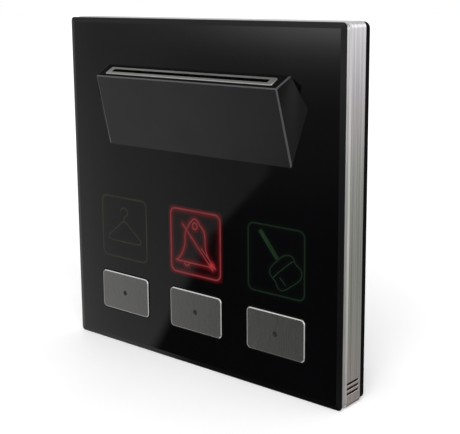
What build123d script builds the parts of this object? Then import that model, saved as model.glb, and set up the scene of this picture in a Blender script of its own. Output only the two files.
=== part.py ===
"""Key card switch: a square glass panel with a tilted card slot and three lit push buttons.

X runs to the right, Y into the wall and Z up. The origin is the centre of the wall plane,
midway between the two fixing holes, so everything that shows has a negative Y.
Every size is in millimetres.
"""

import math
import os

from build123d import *

# Panel outline and the layers that show from the side, from the wall forwards
panel_size = 96.0
panel_corner = 1.5
back_plate_depth = 1.4
back_plate_inset = 0.2
back_plate_corner = 1.7
shadow_gap = 0.3
band_depth = 6.7
band_wall = 1.2
band_front_chamfer = 0.4
band_rear_chamfer = 0.25
band_flange_width = 3.0
band_flange_depth = 1.0
front_plate_depth = 1.5
front_plate_inset = 0.35
glass_edge_depth = 0.6
glass_inset = 0.1
glass_corner = 1.2
glass_bevel_width = 1.45
glass_bevel_depth = 0.35
glass_seat_depth = 1.1
glass_seat_rim = 2.2
glass_seat_play = 0.1

# Card, as the standard short edge that goes in first
card_width = 53.98
card_thickness = 0.76
card_side_play = 0.46
card_face_play = 0.3
channel_relief = 0.02
card_depth = 28.0

# Card holder on the glass
holder_top_z = 34.8
holder_foot_z = 12.0
holder_reach = 5.34
holder_drop = 2.8
holder_top_half = 32.05
holder_front_half = 31.7
holder_foot_half = 32.4
cheek_half = 37.25
cheek_z = 26.9
holder_wall = 1.5
holder_rib = 1.2
holder_rib_count = 4
holder_bay_reach = 4.0

# Steel trim ring round the slot
ring_side = 1.9
ring_edge = 1.03
ring_depth = 0.8
ring_proud = 0.12
ring_corner = 0.6
ring_bevel = 0.15
ring_gap = 0.4
slot_corner = 0.3

# Card pocket behind the ring
pocket_wall = 1.0
pocket_play = 0.15
pocket_lead_in = 0.3
pocket_mouth_gap = 0.05
pocket_ear_depth = 1.5
pocket_ear_height = 6.0
pocket_ear_width = 10.0
pocket_ear_z = 22.3
pocket_ear_margin = 0.6

# Hooks that hold the holder in its cut-out
hook_height = 3.4
hook_thickness = 1.4
hook_barb = 1.1
hook_z = 29.2
hook_play = 0.2
hook_root = 0.6
hook_tip = 1.2
hook_gap = 0.1
cutout_half = 32.8
cutout_bottom_z = 19.2
cutout_top_z = 32.4

# Springs that press the card against the rear wall of the pocket
card_spring_width = 6.0
card_spring_span = 11.0
card_spring_rise = 0.6
card_spring_thickness = 0.2
card_spring_x = 18.0
card_spring_start = 9.0
card_spring_play = 0.3
card_spring_end_gap = 0.1

# Card lever and its switch, placed along the card's path and away from it
lever_x = 21.6
lever_width = 3.0
lever_pivot_s = 17.5
lever_pivot_t = 3.1
lever_pin_radius = 0.75
lever_pin_play = 0.04
lever_pin_fit = 0.01
lever_hub_radius = 1.28
lever_bar_thickness = 1.3
lever_bar_relief = 0.35
lever_nose_slope = 1.3
lever_nose_rear_slope = 0.4
lever_nose_s = 24.3
lever_nose_width = 0.8
lever_nose_reach = 0.35
lever_pad_arm = 4.0
lever_pad_radius = 0.8
lever_pad_rise = 0.75
lever_ear_thickness = 1.0
lever_ear_gap = 0.5
lever_ear_radius = 1.9
lever_window_play = 0.5
ear_root = 0.2
switch_ear_inset = 1.0
switch_hub_gap = 0.4
switch_pad_gap = 0.95
switch_length = 12.8
switch_height = 6.5
switch_width = 5.8
switch_pin_radius = 1.0
switch_pin_spacing = 6.5
switch_pin_height = 3.9
plunger_radius = 0.6
plunger_gap = 0.05
plunger_play = 0.05
plunger_inside = 1.5
plunger_travel = 0.65
plunger_end_room = 0.3

# Buttons and symbols, three of each side by side
column_count = 3
button_side_margin = 11.0
button_foot_margin = 10.15
button_width = 18.8
button_height = 11.5
button_corner = 1.3
button_proud = 0.45
button_edge = 0.3
button_gap = 0.25
cap_skin = 0.8
cap_depth = 2.0
cap_seat_play = 0.05
button_travel = 0.5
carrier_neck_inset = 0.3
carrier_flange = 1.2
carrier_flange_depth = 1.0
carrier_rest_gap = 0.05
carrier_post_radius = 1.6
guide_play = 0.15
guide_wall = 1.0
symbol_size = 18.05
symbol_gap = 4.725
diffuser_play = 0.1
diffuser_depth = 1.4
light_wall = 1.0

# Circuit board and what stands on it
board_depth = 1.6
board_gap = 0.9
board_margin = 2.3
board_top_z = 6.3
board_corner = 1.5
board_access_radius = 4.5
tact_size = 6.0
tact_depth = 1.9
tact_stem_radius = 1.2
tact_stem_play = 0.06
tact_stem_inside = 0.6
tact_stem_length = 0.7
tact_bore_room = 0.2
led_width = 3.5
led_height = 2.8
led_depth = 1.9
chip_size = 5.0
chip_depth = 1.0
chip_gap = 0.5
sensor_width = 3.0
sensor_height = 2.0
sensor_depth = 1.2
sensor_edge_gap = 1.5
header_width = 20.0
header_height = 5.0
header_z = -14.0
header_opening_play = 1.0
header_join_y = 1.0

# Vent slots in the right side, over the room sensor
vent_count = 3
vent_front_inset = 1.9
vent_length = 5.25
vent_height = 0.57
vent_pitch = 1.3
vent_foot_gap = 5.2

# Wall fixing
fixing_spacing = 60.3
fixing_hole_radius = 1.95
fixing_slot_length = 6.5
rim_height = 1.6
rim_wall = 0.8
rim_play = 0.3

# Clips that hold the front on the back plate
clip_width = 6.0
clip_metal = 0.3
clip_height = 4.4
clip_foot = 3.0
clip_bump = 1.15
clip_bump_drop = 1.2
clip_gap = 0.05
clip_z = 22.0

# Housing inside the wall box
housing_half_width = 31.0
housing_half_height = 28.0
housing_depth = 22.0
housing_wall = 1.6
housing_corner = 3.0
notch_half_height = 5.6
notch_depth = 5.0
opening_half_width = 29.3
opening_bottom_z = 6.4
opening_top_z = 22.6
housing_screw_x = 27.0
housing_screw_z = 25.1
housing_boss_radius = 2.2
housing_boss_depth = 9.0
housing_screw_radius = 1.0
housing_head_radius = 1.9
housing_head_land = 0.05
housing_screw_room = 1.0

# Power board and what stands on it
power_board_y = 3.0
power_board_half = 22.0
power_board_bottom_z = -25.4
power_board_top_z = 5.0
power_post_radius = 1.8
power_post_rise = 2.0
relay_width = 19.0
relay_height = 15.4
relay_depth = 15.3
supply_width = 18.0
supply_depth = 12.5
part_gap = 1.0
capacitor_radius = 3.0
capacitor_length = 10.0
terminal_count = 5
terminal_pitch = 7.0
terminal_height = 13.0
terminal_bottom_z = 0.0
terminal_depth = 10.4
terminal_play = 0.15
wire_radius = 1.6
wire_depth = 6.0
wire_z = 3.4
terminal_screw_z = 9.4
terminal_screw_radius = 1.9
terminal_screw_depth = 3.0
terminal_screw_sink = 0.5
terminal_screw_slot = 0.6
terminal_pin_width = 1.0
terminal_pin_z = 2.4

# Small fasteners and bosses, drawn with few sides
small_sides = 12
stud_radius = 1.0
stud_play = 0.1
stud_length = 3.0
nut_radius = 2.1
nut_depth = 1.3
tab_edge_gap = 0.1
tab_depth = 1.5
tab_height = 7.0
root_overlap = 0.5
board_screw_radius = 1.0
board_screw_head_radius = 1.9
board_screw_head_depth = 0.7
board_screw_length = 4.4
board_screw_room = 0.4
board_boss_radius = 2.0
screw_play = 0.05

# Planes of the layers, worked out from their depths
back_plate_front_y = -back_plate_depth
band_rear_y = back_plate_front_y - shadow_gap
band_front_y = band_rear_y - band_depth
front_plate_y = band_front_y - front_plate_depth
glass_front_y = front_plate_y - glass_edge_depth
glass_rear_y = front_plate_y + glass_seat_depth
board_rear_y = back_plate_front_y - board_gap
board_front_y = board_rear_y - board_depth
half_panel = panel_size / 2

# The slot face runs from its rear edge on the glass down to its front edge
slot_face_width = math.hypot(holder_reach, holder_drop)
tilt_sin = holder_drop / slot_face_width
tilt_cos = holder_reach / slot_face_width
slot_y = glass_front_y - holder_reach / 2
slot_z = holder_top_z - holder_drop / 2
slot_width = card_width + 2 * card_side_play
slot_half = slot_width / 2
slot_half_thickness = card_thickness / 2 + card_face_play
ring_half = slot_half + ring_side
ring_half_thickness = slot_half_thickness + ring_edge
pocket_start = ring_depth - ring_proud + pocket_mouth_gap
pocket_end = card_depth + pocket_wall
channel_half = slot_half + card_side_play / 2
channel_half_thickness = slot_half_thickness + channel_relief
pocket_half = channel_half + pocket_wall
pocket_half_thickness = channel_half_thickness + pocket_wall

pitch_x = half_panel - button_side_margin - button_width / 2
columns = [(i - (column_count - 1) / 2) * pitch_x for i in range(column_count)]
column_names = ["left", "middle", "right"]
button_z = -half_panel + button_foot_margin + button_height / 2
symbol_z = button_z + button_height / 2 + symbol_gap + symbol_size / 2
button_front_y = glass_front_y - button_proud
carrier_front_y = button_front_y + cap_skin
flange_front_y = band_front_y + carrier_rest_gap
flange_rear_y = flange_front_y + carrier_flange_depth
tact_front_y = board_front_y - tact_depth
stem_front_y = tact_front_y - tact_stem_length
boss_x = pitch_x / 2
board_half = half_panel - band_wall - board_margin
vent_middle_z = -half_panel + vent_foot_gap
housing_inner_y = housing_depth - housing_wall
power_board_rear_y = power_board_y + board_depth
stud_x = half_panel - band_wall - band_flange_width - nut_radius - tab_edge_gap


def block(x_span, y_span, z_span):
    """A box from its low and high value along each axis."""
    size = [high - low for low, high in (x_span, y_span, z_span)]
    corner = Pos(x_span[0], y_span[0], z_span[0])
    return corner * Box(*size, align=(Align.MIN, Align.MIN, Align.MIN))


def upright(outline, rear_y, front_y):
    """An outline drawn on the wall, given depth from its rear plane to its front plane."""
    return extrude(Plane.XZ.offset(-rear_y) * outline, amount=rear_y - front_y)


def square_outline(size, corner):
    return RectangleRounded(size, size, corner)


def along_y(radius, rear_y, front_y, x=0.0, z=0.0):
    """A round bar across the panel's depth."""
    return upright(Pos(x, z) * Circle(radius), rear_y, front_y)


def small_bar(radius, rear_y, front_y, x=0.0, z=0.0):
    """A small round bar or hole across the panel's depth, drawn with few sides."""
    return upright(Pos(x, z) * RegularPolygon(radius, small_sides), rear_y, front_y)


def card_plane(x):
    """The plane across the panel whose first axis is the card's way in."""
    return Plane(origin=(x, slot_y, slot_z), x_dir=(0, tilt_sin, -tilt_cos), z_dir=(1, 0, 0))


def across(outline, x_low, x_high):
    """An outline drawn beside the card's path, given width along X."""
    return extrude(card_plane(x_low) * outline, amount=x_high - x_low)


def span_outline(s_low, s_high, t_low, t_high):
    """A rectangle beside the card's path: s along the card's way in, t towards the wall."""
    size = (s_high - s_low, t_high - t_low)
    return Pos(s_low, t_low) * Rectangle(*size, align=(Align.MIN, Align.MIN))


def mouth_plane(s):
    """The plane square to the card's path, at a distance along it."""
    origin = (0, slot_y + s * tilt_sin, slot_z - s * tilt_cos)
    return Plane(origin=origin, x_dir=(1, 0, 0), z_dir=(0, -tilt_sin, tilt_cos))


def path_point(s, t):
    """Y and Z of a place beside the card's path."""
    return (slot_y + s * tilt_sin + t * tilt_cos, slot_z - s * tilt_cos + t * tilt_sin)


def vent_cuts():
    """The slots through the right side of the band."""
    front = front_plate_y + vent_front_inset
    cuts = []
    for i in range(vent_count):
        z = vent_middle_z + (i - (vent_count - 1) / 2) * vent_pitch
        x_span = (half_panel - 2 * band_wall, half_panel + band_wall)
        z_span = (z - vent_height / 2, z + vent_height / 2)
        cuts.append(block(x_span, (front, front + vent_length), z_span))
    return cuts


def build_glass():
    size = panel_size - 2 * glass_inset
    bevel_y = glass_front_y + glass_bevel_depth
    front_size = size - 2 * glass_bevel_width
    sharp = Rectangle(size, size)
    front = Rectangle(front_size, front_size)
    slab = upright(sharp, front_plate_y, bevel_y)
    slab += loft([Plane.XZ.offset(-bevel_y) * sharp, Plane.XZ.offset(-glass_front_y) * front])
    glass = slab & upright(square_outline(size, glass_corner), front_plate_y, glass_front_y)
    # Stepped rear that sits in the recess of the front plate
    seat = seat_size() - 2 * glass_seat_play
    glass += upright(Rectangle(seat, seat), glass_rear_y, front_plate_y)
    glass -= holder_cutout(glass_front_y)
    for x in columns:
        glass -= button_cutout(x, glass_front_y)
    return glass


def seat_size():
    return panel_size - 2 * glass_seat_rim


def holder_cutout(front_y):
    size = (2 * cutout_half, cutout_top_z - cutout_bottom_z)
    middle = (cutout_top_z + cutout_bottom_z) / 2
    outline = Pos(0, middle) * Rectangle(*size)
    return upright(outline, band_front_y + 1, front_y - 1)


def button_cutout(x, front_y):
    size = (button_width + 2 * button_gap, button_height + 2 * button_gap)
    outline = Pos(x, button_z) * RectangleRounded(*size, button_corner + button_gap)
    return upright(outline, band_front_y + 1, front_y - 1)


def build_front_rim():
    """The steel lip that shows from the side, round the rear step of the glass."""
    size = panel_size - 2 * front_plate_inset
    outline = square_outline(size, panel_corner) - Rectangle(seat_size(), seat_size())
    return upright(outline, glass_rear_y, front_plate_y)


def build_front_plate():
    """The sheet behind the glass, with windows for the holder, the symbols and the buttons."""
    size = panel_size - 2 * front_plate_inset
    plate = upright(square_outline(size, panel_corner), band_front_y, glass_rear_y)
    plate -= holder_cutout(front_plate_y)
    for x in columns:
        plate -= button_cutout(x, front_plate_y)
        window = Pos(x, symbol_z) * Rectangle(symbol_size, symbol_size)
        plate -= upright(window, band_front_y + 1, front_plate_y - 1)
    return plate


def build_studs():
    end = band_front_y + stud_length
    return [small_bar(stud_radius, end, band_front_y, x, z) for x, z in stud_places()]


def stud_places():
    """Welded studs: two for the pocket, two for the light box, two for the key guide."""
    heights = (symbol_z, button_z)
    places = [(side * stud_x, z) for z in heights for side in (-1, 1)]
    pocket_x = pocket_half + pocket_ear_width - nut_radius - pocket_ear_margin
    return places + [(side * pocket_x, pocket_ear_z) for side in (-1, 1)]


def build_band():
    outer = square_outline(panel_size, panel_corner)
    inner_size = panel_size - 2 * band_wall
    inner = Rectangle(inner_size, inner_size)
    band = upright(outer, band_rear_y, band_front_y)
    band = chamfer(band.faces().sort_by(Axis.Y)[0].edges(), band_front_chamfer)
    band = chamfer(band.faces().sort_by(Axis.Y)[-1].edges(), band_rear_chamfer)
    band -= upright(inner, band_rear_y + 1, band_front_y + band_flange_depth)
    lip_size = inner_size - 2 * band_flange_width
    lip = Rectangle(lip_size, lip_size)
    band -= upright(lip, band_front_y + 2 * band_flange_depth, band_front_y - 1)
    for cut in vent_cuts():
        band -= cut
    return band


def holder_corners(side):
    """The four corners of one cheek: rear top, front top, foot and outer point on the glass."""
    rear_top = Vector(side * holder_top_half, glass_front_y, holder_top_z)
    front_y = glass_front_y - holder_reach
    front_top = Vector(side * holder_front_half, front_y, holder_top_z - holder_drop)
    foot = Vector(side * holder_foot_half, glass_front_y, holder_foot_z)
    outer = Vector(side * cheek_half, glass_front_y, cheek_z)
    return rear_top, front_top, foot, outer


def holder_body():
    """A wedge whose cheeks twist smoothly out to the glass."""
    top_l, front_l, foot_l, outer_l = holder_corners(-1)
    top_r, front_r, foot_r, outer_r = holder_corners(1)
    slot_face = Face(Wire.make_polygon([top_l, top_r, front_r, front_l]))
    front_face = Face(Wire.make_polygon([front_l, front_r, foot_r, foot_l]))
    footprint = Face(Wire.make_polygon([top_l, top_r, outer_r, foot_r, foot_l, outer_l]))
    cheek_l = Face.make_bezier_surface([[top_l, front_l], [outer_l, foot_l]])
    cheek_r = Face.make_bezier_surface([[top_r, front_r], [outer_r, foot_r]])
    return Solid(Shell([slot_face, front_face, footprint, cheek_l, cheek_r]))


def build_holder():
    holder = holder_body()
    # Seat of the trim ring, with the dark gap round it
    seat_half = ring_half + ring_gap
    seat_thickness = ring_half_thickness + ring_gap
    seat_size = (2 * seat_half, 2 * seat_thickness)
    seat = RectangleRounded(*seat_size, ring_corner + ring_gap)
    seat_depth = ring_depth - ring_proud
    holder -= extrude(mouth_plane(seat_depth) * seat, amount=seat_depth + 1)
    # Passage for the pocket, out through the back
    play_half = pocket_half + pocket_play
    play_thickness = pocket_half_thickness + pocket_play
    passage = span_outline(0, pocket_end, -play_thickness, play_thickness)
    holder -= across(passage, -play_half, play_half)
    # Lightened back below the passage, between ribs
    lean = holder_reach / (holder_top_z - holder_drop - holder_foot_z)
    low_z = holder_foot_z + holder_wall / lean
    high_z = cutout_bottom_z + holder_bay_reach
    bay_depth = (high_z - low_z) * lean
    bay_width = (2 * play_half - (holder_rib_count - 1) * holder_rib) / holder_rib_count
    rear = glass_front_y + 0.5
    bay_points = [(rear, low_z), (rear, high_z), (glass_front_y - bay_depth, high_z)]
    bay_points.append((glass_front_y, low_z))
    bay_profile = make_face(Polyline(*bay_points, close=True).edges())
    for i in range(holder_rib_count):
        x = -play_half + i * (bay_width + holder_rib)
        holder -= extrude(Plane.YZ.offset(x) * bay_profile, amount=bay_width)
    for side in (-1, 1):
        holder += hook(side)
    return holder


def hook(side):
    """A springy arm through the cut-out, with a barb behind the front plate."""
    outer_x = cutout_half - hook_play
    inner_x = outer_x - hook_thickness
    rear_y = band_front_y + hook_tip
    points = [
        (inner_x, glass_front_y - hook_root),
        (outer_x, glass_front_y - hook_root),
        (outer_x, band_front_y + hook_gap),
        (outer_x + hook_barb, band_front_y + hook_gap),
        (outer_x, rear_y),
        (inner_x, rear_y),
    ]
    profile = make_face(Polyline(*[(side * x, y) for x, y in points], close=True).edges())
    return extrude(Plane.XY.offset(hook_z - hook_height / 2) * profile, amount=hook_height)


def build_ring():
    outer = RectangleRounded(2 * ring_half, 2 * ring_half_thickness, ring_corner)
    slot = RectangleRounded(slot_width, 2 * slot_half_thickness, slot_corner)
    base = mouth_plane(ring_depth - ring_proud)
    ring = extrude(base * (outer - slot), amount=ring_depth)
    top = ring.faces().sort_by(Axis(origin=(0, 0, 0), direction=(0, -tilt_sin, tilt_cos)))[-1]
    return chamfer(top.outer_wire().edges(), ring_bevel)


def build_pocket():
    outer = span_outline(pocket_start, pocket_end, -channel_half_thickness, pocket_half_thickness)
    pocket = across(outer, -pocket_half, pocket_half)
    # Fixing ears against the rear of the front plate
    ear_z = (pocket_ear_z - pocket_ear_height / 2, pocket_ear_z + pocket_ear_height / 2)
    ear_y = (band_front_y, band_front_y + pocket_ear_depth)
    ear_reach = pocket_half + pocket_ear_width
    for side in (-1, 1):
        x_span = sorted((side * (pocket_half - pocket_wall), side * ear_reach))
        pocket += block(x_span, ear_y, ear_z)
    pocket -= across(cover_outline(), -pocket_half, pocket_half)
    pocket += lever_ears()
    inner = span_outline(-1, card_depth, -channel_half_thickness, channel_half_thickness)
    pocket -= across(inner, -channel_half, channel_half)
    pocket -= mouth_flare()
    # Window for the lever's nose in the rear wall
    window_low = lever_nose_s - lever_bar_thickness - 2 * lever_window_play
    window_high = lever_nose_s + lever_nose_width + lever_bar_thickness + lever_window_play
    window = span_outline(window_low, window_high, 0, pocket_half_thickness + 0.5)
    half = lever_width / 2 + lever_window_play
    pocket -= across(window, lever_x - half, lever_x + half)
    # Holes for the studs, the lever's pin and the switch's pins
    for x, z in stud_places():
        if z == pocket_ear_z:
            hole = stud_radius + stud_play
            pocket -= small_bar(hole, band_front_y + 3, band_front_y - 1, x, z)
    pocket -= lever_pin_bar(lever_pin_radius + lever_pin_fit, 1)
    for s, t in switch_pin_places():
        pin_hole = Pos(s, t) * RegularPolygon(switch_pin_radius + screw_play, small_sides)
        pocket -= across(pin_hole, lever_side_x(1) - 1, lever_side_x(1) + 3)
    return pocket


def cover_outline():
    return span_outline(pocket_start, pocket_end, -pocket_half_thickness, -channel_half_thickness)


def build_pocket_cover():
    """The flat front wall of the pocket, with a window for each card spring."""
    cover = across(cover_outline(), -pocket_half, pocket_half) - mouth_flare()
    spring_end = card_spring_start + card_spring_span
    window = span_outline(card_spring_start, spring_end, -pocket_half_thickness - 1, 0)
    for x in card_spring_places():
        half = card_spring_width / 2 + card_spring_play
        cover -= across(window, x - half, x + half)
    return cover


def mouth_flare():
    """A lead-in all round the mouth of the channel."""
    size = (2 * channel_half, 2 * channel_half_thickness)
    wide = (size[0] + 2 * pocket_lead_in, size[1] + 2 * pocket_lead_in)
    upper = mouth_plane(pocket_start) * Rectangle(*wide)
    lower = mouth_plane(pocket_start + pocket_lead_in) * Rectangle(*size)
    return loft([upper, lower])


def lever_side_x(side):
    """The inner face of the ear on one side of the lever."""
    return lever_x + side * (lever_width / 2 + lever_ear_gap)


def lever_ears():
    """Two ears on the pocket's rear wall: a short one, and a long one that carries the switch."""
    base_t = pocket_half_thickness - ear_root
    hub = Pos(lever_pivot_s, lever_pivot_t) * Circle(lever_ear_radius)
    foot = span_outline(
        lever_pivot_s - lever_ear_radius, lever_pivot_s + lever_ear_radius, base_t, lever_pivot_t
    )
    inner = lever_side_x(-1)
    short_ear = across(hub + foot, inner - lever_ear_thickness, inner)
    switch_low, switch_bottom = switch_corner()
    start = lever_pivot_s - lever_ear_radius
    end = min(switch_low + switch_length - switch_ear_inset, pocket_end)
    rail = span_outline(start, end, base_t, switch_bottom)
    wing = span_outline(switch_low, end, base_t, switch_bottom + switch_height - switch_ear_inset)
    inner = lever_side_x(1)
    return short_ear + across(hub + rail + wing, inner, inner + lever_ear_thickness)


def lever_pin_bar(radius, extra=0.0):
    low = lever_side_x(-1) - lever_ear_thickness - extra
    high = lever_side_x(1) + lever_ear_thickness + extra
    return across(Pos(lever_pivot_s, lever_pivot_t) * Circle(radius), low, high)


def pad_top():
    return lever_pivot_t + lever_pad_rise


def switch_corner():
    """Where the switch starts along the card's path, and its face towards the lever."""
    low_s = lever_pivot_s + lever_ear_radius + switch_hub_gap
    return low_s, pad_top() + switch_pad_gap


def switch_pin_places():
    low_s, bottom = switch_corner()
    middle = low_s + switch_length / 2
    t = bottom + switch_pin_height
    first = middle - switch_pin_spacing / 2
    return [(first, t), (first + switch_pin_spacing, t)]


def build_lever():
    """A bar on its hub, a nose that dips into the card's path and a round pad for the switch."""
    bar_low = lever_pivot_t - lever_bar_thickness / 2
    bar_high = lever_pivot_t + lever_bar_thickness / 2 - lever_bar_relief
    nose_end = lever_nose_s + lever_nose_width
    points = [
        (lever_pivot_s, bar_low),
        (lever_nose_s - lever_nose_slope, bar_low),
        (lever_nose_s, -lever_nose_reach),
        (nose_end, -lever_nose_reach),
        (nose_end + lever_nose_rear_slope, bar_high),
        (lever_pivot_s, bar_high),
    ]
    profile = make_face(Polyline(*points, close=True).edges())
    hub = Pos(lever_pivot_s, lever_pivot_t) * Circle(lever_hub_radius)
    pad_centre = (lever_pivot_s + lever_pad_arm, pad_top() - lever_pad_radius)
    pad = Pos(*pad_centre) * Circle(lever_pad_radius)
    hole = Pos(lever_pivot_s, lever_pivot_t) * Circle(lever_pin_radius + lever_pin_play)
    half = lever_width / 2
    return across(profile + hub + pad - hole, lever_x - half, lever_x + half)


def build_switch_body():
    low_s, bottom = switch_corner()
    high_x = lever_side_x(1)
    outline = span_outline(low_s, low_s + switch_length, bottom, bottom + switch_height)
    body = across(outline, high_x - switch_width, high_x)
    for s, t in switch_pin_places():
        hole = Pos(s, t) * RegularPolygon(switch_pin_radius + screw_play, small_sides)
        body -= across(hole, high_x - switch_width - 1, high_x + 1)
    return body - plunger_bar(plunger_radius + plunger_play, plunger_travel + plunger_end_room)


def plunger_bar(radius, extra=0.0):
    """The switch's plunger, or its bore where it is drawn larger."""
    s = lever_pivot_s + lever_pad_arm
    low_t = pad_top() + plunger_gap
    high_t = switch_corner()[1] + plunger_inside + extra
    origin = (lever_x, *path_point(s, low_t))
    plane = Plane(origin=origin, x_dir=(1, 0, 0), z_dir=(0, tilt_cos, tilt_sin))
    return extrude(plane * RegularPolygon(radius, small_sides), amount=high_t - low_t)


def build_switch_pins():
    high_x = lever_side_x(1) + lever_ear_thickness
    low_x = lever_side_x(1) - switch_width
    pins = []
    for s, t in switch_pin_places():
        pin = Pos(s, t) * RegularPolygon(switch_pin_radius, small_sides)
        pins.append(across(pin, low_x, high_x))
    return pins


def card_spring_places():
    return (-card_spring_x, card_spring_x - lever_x)


def build_card_springs():
    """Bowed strips whose ends rest in the windows of the pocket's front wall."""
    start = card_spring_start + card_spring_end_gap
    end = card_spring_start + card_spring_span - card_spring_end_gap
    base_t = -channel_half_thickness - card_spring_rise / 2
    crown = ((start + end) / 2, base_t + card_spring_rise)
    bow = ThreePointArc((start, base_t), crown, (end, base_t))
    back = ThreePointArc(
        (start, base_t - card_spring_thickness),
        (crown[0], crown[1] - card_spring_thickness),
        (end, base_t - card_spring_thickness),
    )
    ends = Line(bow @ 0, back @ 0) + Line(bow @ 1, back @ 1)
    profile = make_face([*bow.edges(), *back.edges(), *ends.edges()])
    springs = []
    for x in card_spring_places():
        springs.append(across(profile, x - card_spring_width / 2, x + card_spring_width / 2))
    return springs


def build_button_cap(x):
    outline = Pos(x, button_z) * RectangleRounded(button_width, button_height, button_corner)
    cap = upright(outline, button_front_y + cap_depth, button_front_y)
    cap = chamfer(cap.faces().sort_by(Axis.Y)[0].edges(), button_edge)
    hollow = Pos(x, button_z) * Rectangle(button_width - 2 * cap_skin, button_height - 2 * cap_skin)
    return cap - upright(hollow, button_front_y + cap_depth + 1, carrier_front_y)


def build_carrier(x):
    """Moulding inside a cap: its neck fills the cap and its flange stops behind the plate."""
    inset = cap_skin + cap_seat_play
    core_size = (button_width - 2 * inset, button_height - 2 * inset)
    core = Pos(x, button_z) * Rectangle(*core_size)
    carrier = upright(core, flange_front_y, carrier_front_y)
    neck_size = (button_width - 2 * carrier_neck_inset, button_height - 2 * carrier_neck_inset)
    neck = Pos(x, button_z) * Rectangle(*neck_size)
    carrier += upright(neck, flange_front_y, button_front_y + cap_depth)
    flange_size = (button_width + 2 * carrier_flange, button_height + 2 * carrier_flange)
    flange = Pos(x, button_z) * Rectangle(*flange_size)
    carrier += upright(flange, flange_rear_y, flange_front_y)
    return carrier + small_bar(carrier_post_radius, stem_front_y, flange_rear_y, x, button_z)


def build_tact_body(x):
    outline = Pos(x, button_z) * Rectangle(tact_size, tact_size)
    body = upright(outline, board_front_y, tact_front_y)
    bore_end = tact_front_y + tact_stem_inside + button_travel + tact_bore_room
    bore = tact_stem_radius + tact_stem_play
    return body - small_bar(bore, bore_end, tact_front_y - 1, x, button_z)


def build_tact_stem(x):
    return small_bar(tact_stem_radius, tact_front_y + tact_stem_inside, stem_front_y, x, button_z)


def build_diffuser(x):
    size = symbol_size - 2 * diffuser_play
    outline = Pos(x, symbol_z) * Rectangle(size, size)
    return upright(outline, glass_rear_y + diffuser_depth, glass_rear_y)


def build_led(x):
    outline = Pos(x, symbol_z) * Rectangle(led_width, led_height)
    return upright(outline, board_front_y, board_front_y - led_depth)


def frame_tabs(z, inner_half):
    """Fixing tabs at both ends of a moulding that sits behind the front plate."""
    tabs = []
    for side in (-1, 1):
        x_span = sorted((side * (inner_half - root_overlap), side * (stud_x + nut_radius)))
        z_span = (z - tab_height / 2, z + tab_height / 2)
        tab = block(x_span, (band_front_y, band_front_y + tab_depth), z_span)
        hole = stud_radius + stud_play
        tabs.append(tab - small_bar(hole, band_front_y + 3, band_front_y - 1, side * stud_x, z))
    return tabs


def boss_cuts(moulding, z):
    """Two screw bosses between the bays of a moulding, drilled from the board's side."""
    depth = board_screw_length - board_depth + board_screw_room
    for x in (-boss_x, boss_x):
        moulding += small_bar(board_boss_radius, board_front_y, band_front_y, x, z)
        hole = board_screw_radius + screw_play
        moulding -= small_bar(hole, board_front_y + 1, board_front_y - depth, x, z)
    return moulding


def build_light_box():
    """One moulding with an open bay behind each symbol."""
    cell = symbol_size + 2 * light_wall
    half = columns[-1] + cell / 2
    height = cell
    outline = Pos(0, symbol_z) * Rectangle(2 * half, height)
    box = upright(outline, board_front_y, band_front_y)
    for x in columns:
        bay = Pos(x, symbol_z) * Rectangle(symbol_size, symbol_size)
        box -= upright(bay, board_front_y + 1, band_front_y - 1)
    gap = pitch_x - cell
    for x in (-boss_x, boss_x):
        slot = Pos(x, symbol_z) * Rectangle(gap, height - 2 * light_wall)
        box -= upright(slot, board_front_y + 1, band_front_y + light_wall)
    box = boss_cuts(box, symbol_z)
    for tab in frame_tabs(symbol_z, half):
        box += tab
    return box


def guide_size():
    width = button_width + 2 * (carrier_flange + guide_play)
    height = button_height + 2 * (carrier_flange + guide_play)
    return width, height


def build_key_guide():
    """One moulding with a window that guides each carrier's flange."""
    width, height = guide_size()
    half = columns[-1] + width / 2 + guide_wall
    outline = Pos(0, button_z) * Rectangle(2 * half, height + 2 * guide_wall)
    guide = upright(outline, board_front_y, band_front_y)
    guide = boss_cuts(guide, button_z)
    for x in columns:
        window = Pos(x, button_z) * Rectangle(width, height)
        guide -= upright(window, board_front_y + 1, band_front_y - 1)
    for tab in frame_tabs(button_z, half):
        guide += tab
    return guide


def build_board():
    height = board_top_z + board_half
    middle = (board_top_z - board_half) / 2
    outline = Pos(0, middle) * RectangleRounded(2 * board_half, height, board_corner)
    board = upright(outline, board_rear_y, board_front_y)
    for x in (-fixing_spacing / 2, fixing_spacing / 2):
        board -= along_y(board_access_radius, board_rear_y + 1, board_front_y - 1, x)
    for x, z in board_screw_places():
        hole = board_screw_radius + screw_play
        board -= small_bar(hole, board_rear_y + 1, board_front_y - 1, x, z)
    return board


def board_screw_places():
    return [(x, z) for z in (symbol_z, button_z) for x in (-boss_x, boss_x)]


def build_board_screws():
    screws = []
    for x, z in board_screw_places():
        head_y = board_rear_y + board_screw_head_depth
        head = small_bar(board_screw_head_radius, head_y, board_rear_y, x, z)
        shank = small_bar(board_screw_radius, board_rear_y, board_rear_y - board_screw_length, x, z)
        screws.append(head + shank)
    return screws


def build_stud_nuts():
    nuts = []
    for x, z in stud_places():
        hole = RegularPolygon(stud_radius + screw_play, small_sides)
        outline = Pos(x, z) * (RegularPolygon(nut_radius, 6) - hole)
        nuts.append(upright(outline, band_front_y + tab_depth + nut_depth, band_front_y + tab_depth))
    return nuts


def build_chip():
    """The controller, beside the middle tact switch."""
    x = tact_size / 2 + chip_gap + chip_size / 2
    outline = Pos(x, button_z) * Rectangle(chip_size, chip_size)
    return upright(outline, board_front_y, board_front_y - chip_depth)


def build_sensor():
    x = board_half - sensor_edge_gap - sensor_width / 2
    outline = Pos(x, vent_middle_z) * Rectangle(sensor_width, sensor_height)
    return upright(outline, board_front_y, board_front_y - sensor_depth)


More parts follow.
